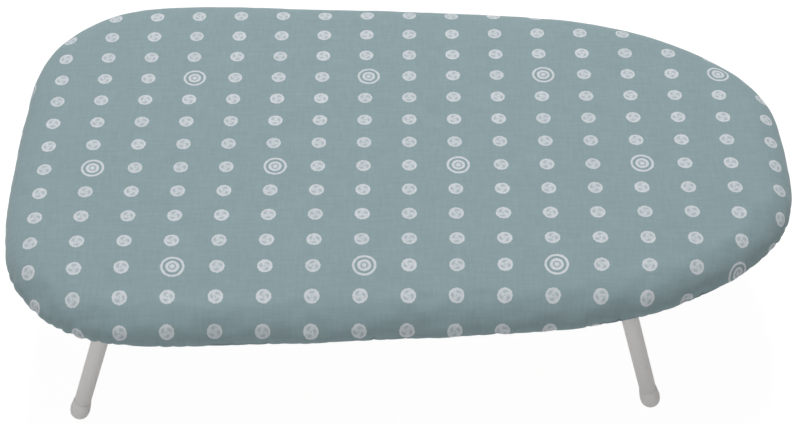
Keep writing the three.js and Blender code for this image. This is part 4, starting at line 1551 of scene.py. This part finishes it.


# Studio

FLOOR_SIZE = 14.0
FLOOR_GREY = colour(240, 240, 240)
# What the camera sees of the floor: mostly a glow, so that it is white with a faint shadow
FLOOR_GLOW = 0.94
FLOOR_SHADOW_SHARE = 0.15
FLOOR_DROP = 0.2 * MM
# How bright the sky is as a light. The camera sees it white
SKY_LEVEL = 0.28


def seen_by_camera(tree):
    """1 where the camera looks, straight, in a reflection or through something, and otherwise 0"""
    path = put(tree, "ShaderNodeLightPath").outputs
    clear = calc(tree, "MAXIMUM", path["Is Glossy Ray"], path["Is Transmission Ray"])
    return calc(tree, "MAXIMUM", path["Is Camera Ray"], clear)


def make_floor():
    """Paper a little under the feet, which throws light back at the board"""
    half = FLOOR_SIZE / 2
    points = [(-half, -half, 0), (half, -half, 0), (half, half, 0), (-half, half, 0)]
    material = bpy.data.materials.new("studio_floor")
    material.use_nodes = True
    tree = material.node_tree
    tree.nodes.clear()
    paper = put(tree, "ShaderNodeBsdfDiffuse", {"Color": FLOOR_GREY}).outputs[0]
    faint = put(tree, "ShaderNodeBsdfDiffuse", {"Color": (*[FLOOR_SHADOW_SHARE] * 3, 1)}).outputs[0]
    glow = put(tree, "ShaderNodeEmission", {"Color": (1, 1, 1, 1), "Strength": FLOOR_GLOW}).outputs[0]
    both = put(tree, "ShaderNodeAddShader", {0: faint, 1: glow}).outputs[0]
    shown = put(tree, "ShaderNodeMixShader", {0: seen_by_camera(tree), 1: paper, 2: both}).outputs[0]
    put(tree, "ShaderNodeOutputMaterial", {"Surface": shown})
    floor = new_piece("studio_floor", points, [(0, 1, 2, 3)], [material])
    floor.location.z = -FLOOR_DROP


def make_sky():
    """Even light from all round"""
    world = bpy.data.worlds.new("studio_sky")
    bpy.context.scene.world = world
    world.use_nodes = True
    tree = world.node_tree
    tree.nodes.clear()
    level = calc(tree, "MULTIPLY_ADD", seen_by_camera(tree), 1 - SKY_LEVEL, SKY_LEVEL)
    sky = put(tree, "ShaderNodeBackground", {"Color": (1, 1, 1, 1), "Strength": level}).outputs[0]
    put(tree, "ShaderNodeOutputWorld", {"Surface": sky})


def make_lamp(name, place, aim, size, power):
    """A round soft light, turned towards a place"""
    data = bpy.data.lights.new(name, "AREA")
    data.shape = "DISK"
    data.size = size
    data.energy = power
    lamp = bpy.data.objects.new(name, data)
    lamp.location = place
    lamp.rotation_euler = (Vector(aim) - Vector(place)).to_track_quat("-Z", "Y").to_euler()
    bpy.context.scene.collection.objects.link(lamp)


BOARD_MIDDLE = (0, 0, BOARD_TOP)
make_floor()
make_sky()
make_lamp("overhead_softbox", (-0.05, 1.0, 2.75), BOARD_MIDDLE, 0.8, 51)
make_lamp("front_softbox", (-1.2, -2.4, 0.9), BOARD_MIDDLE, 1.2, 9.8)
bpy.context.scene.view_settings.view_transform = "Standard"
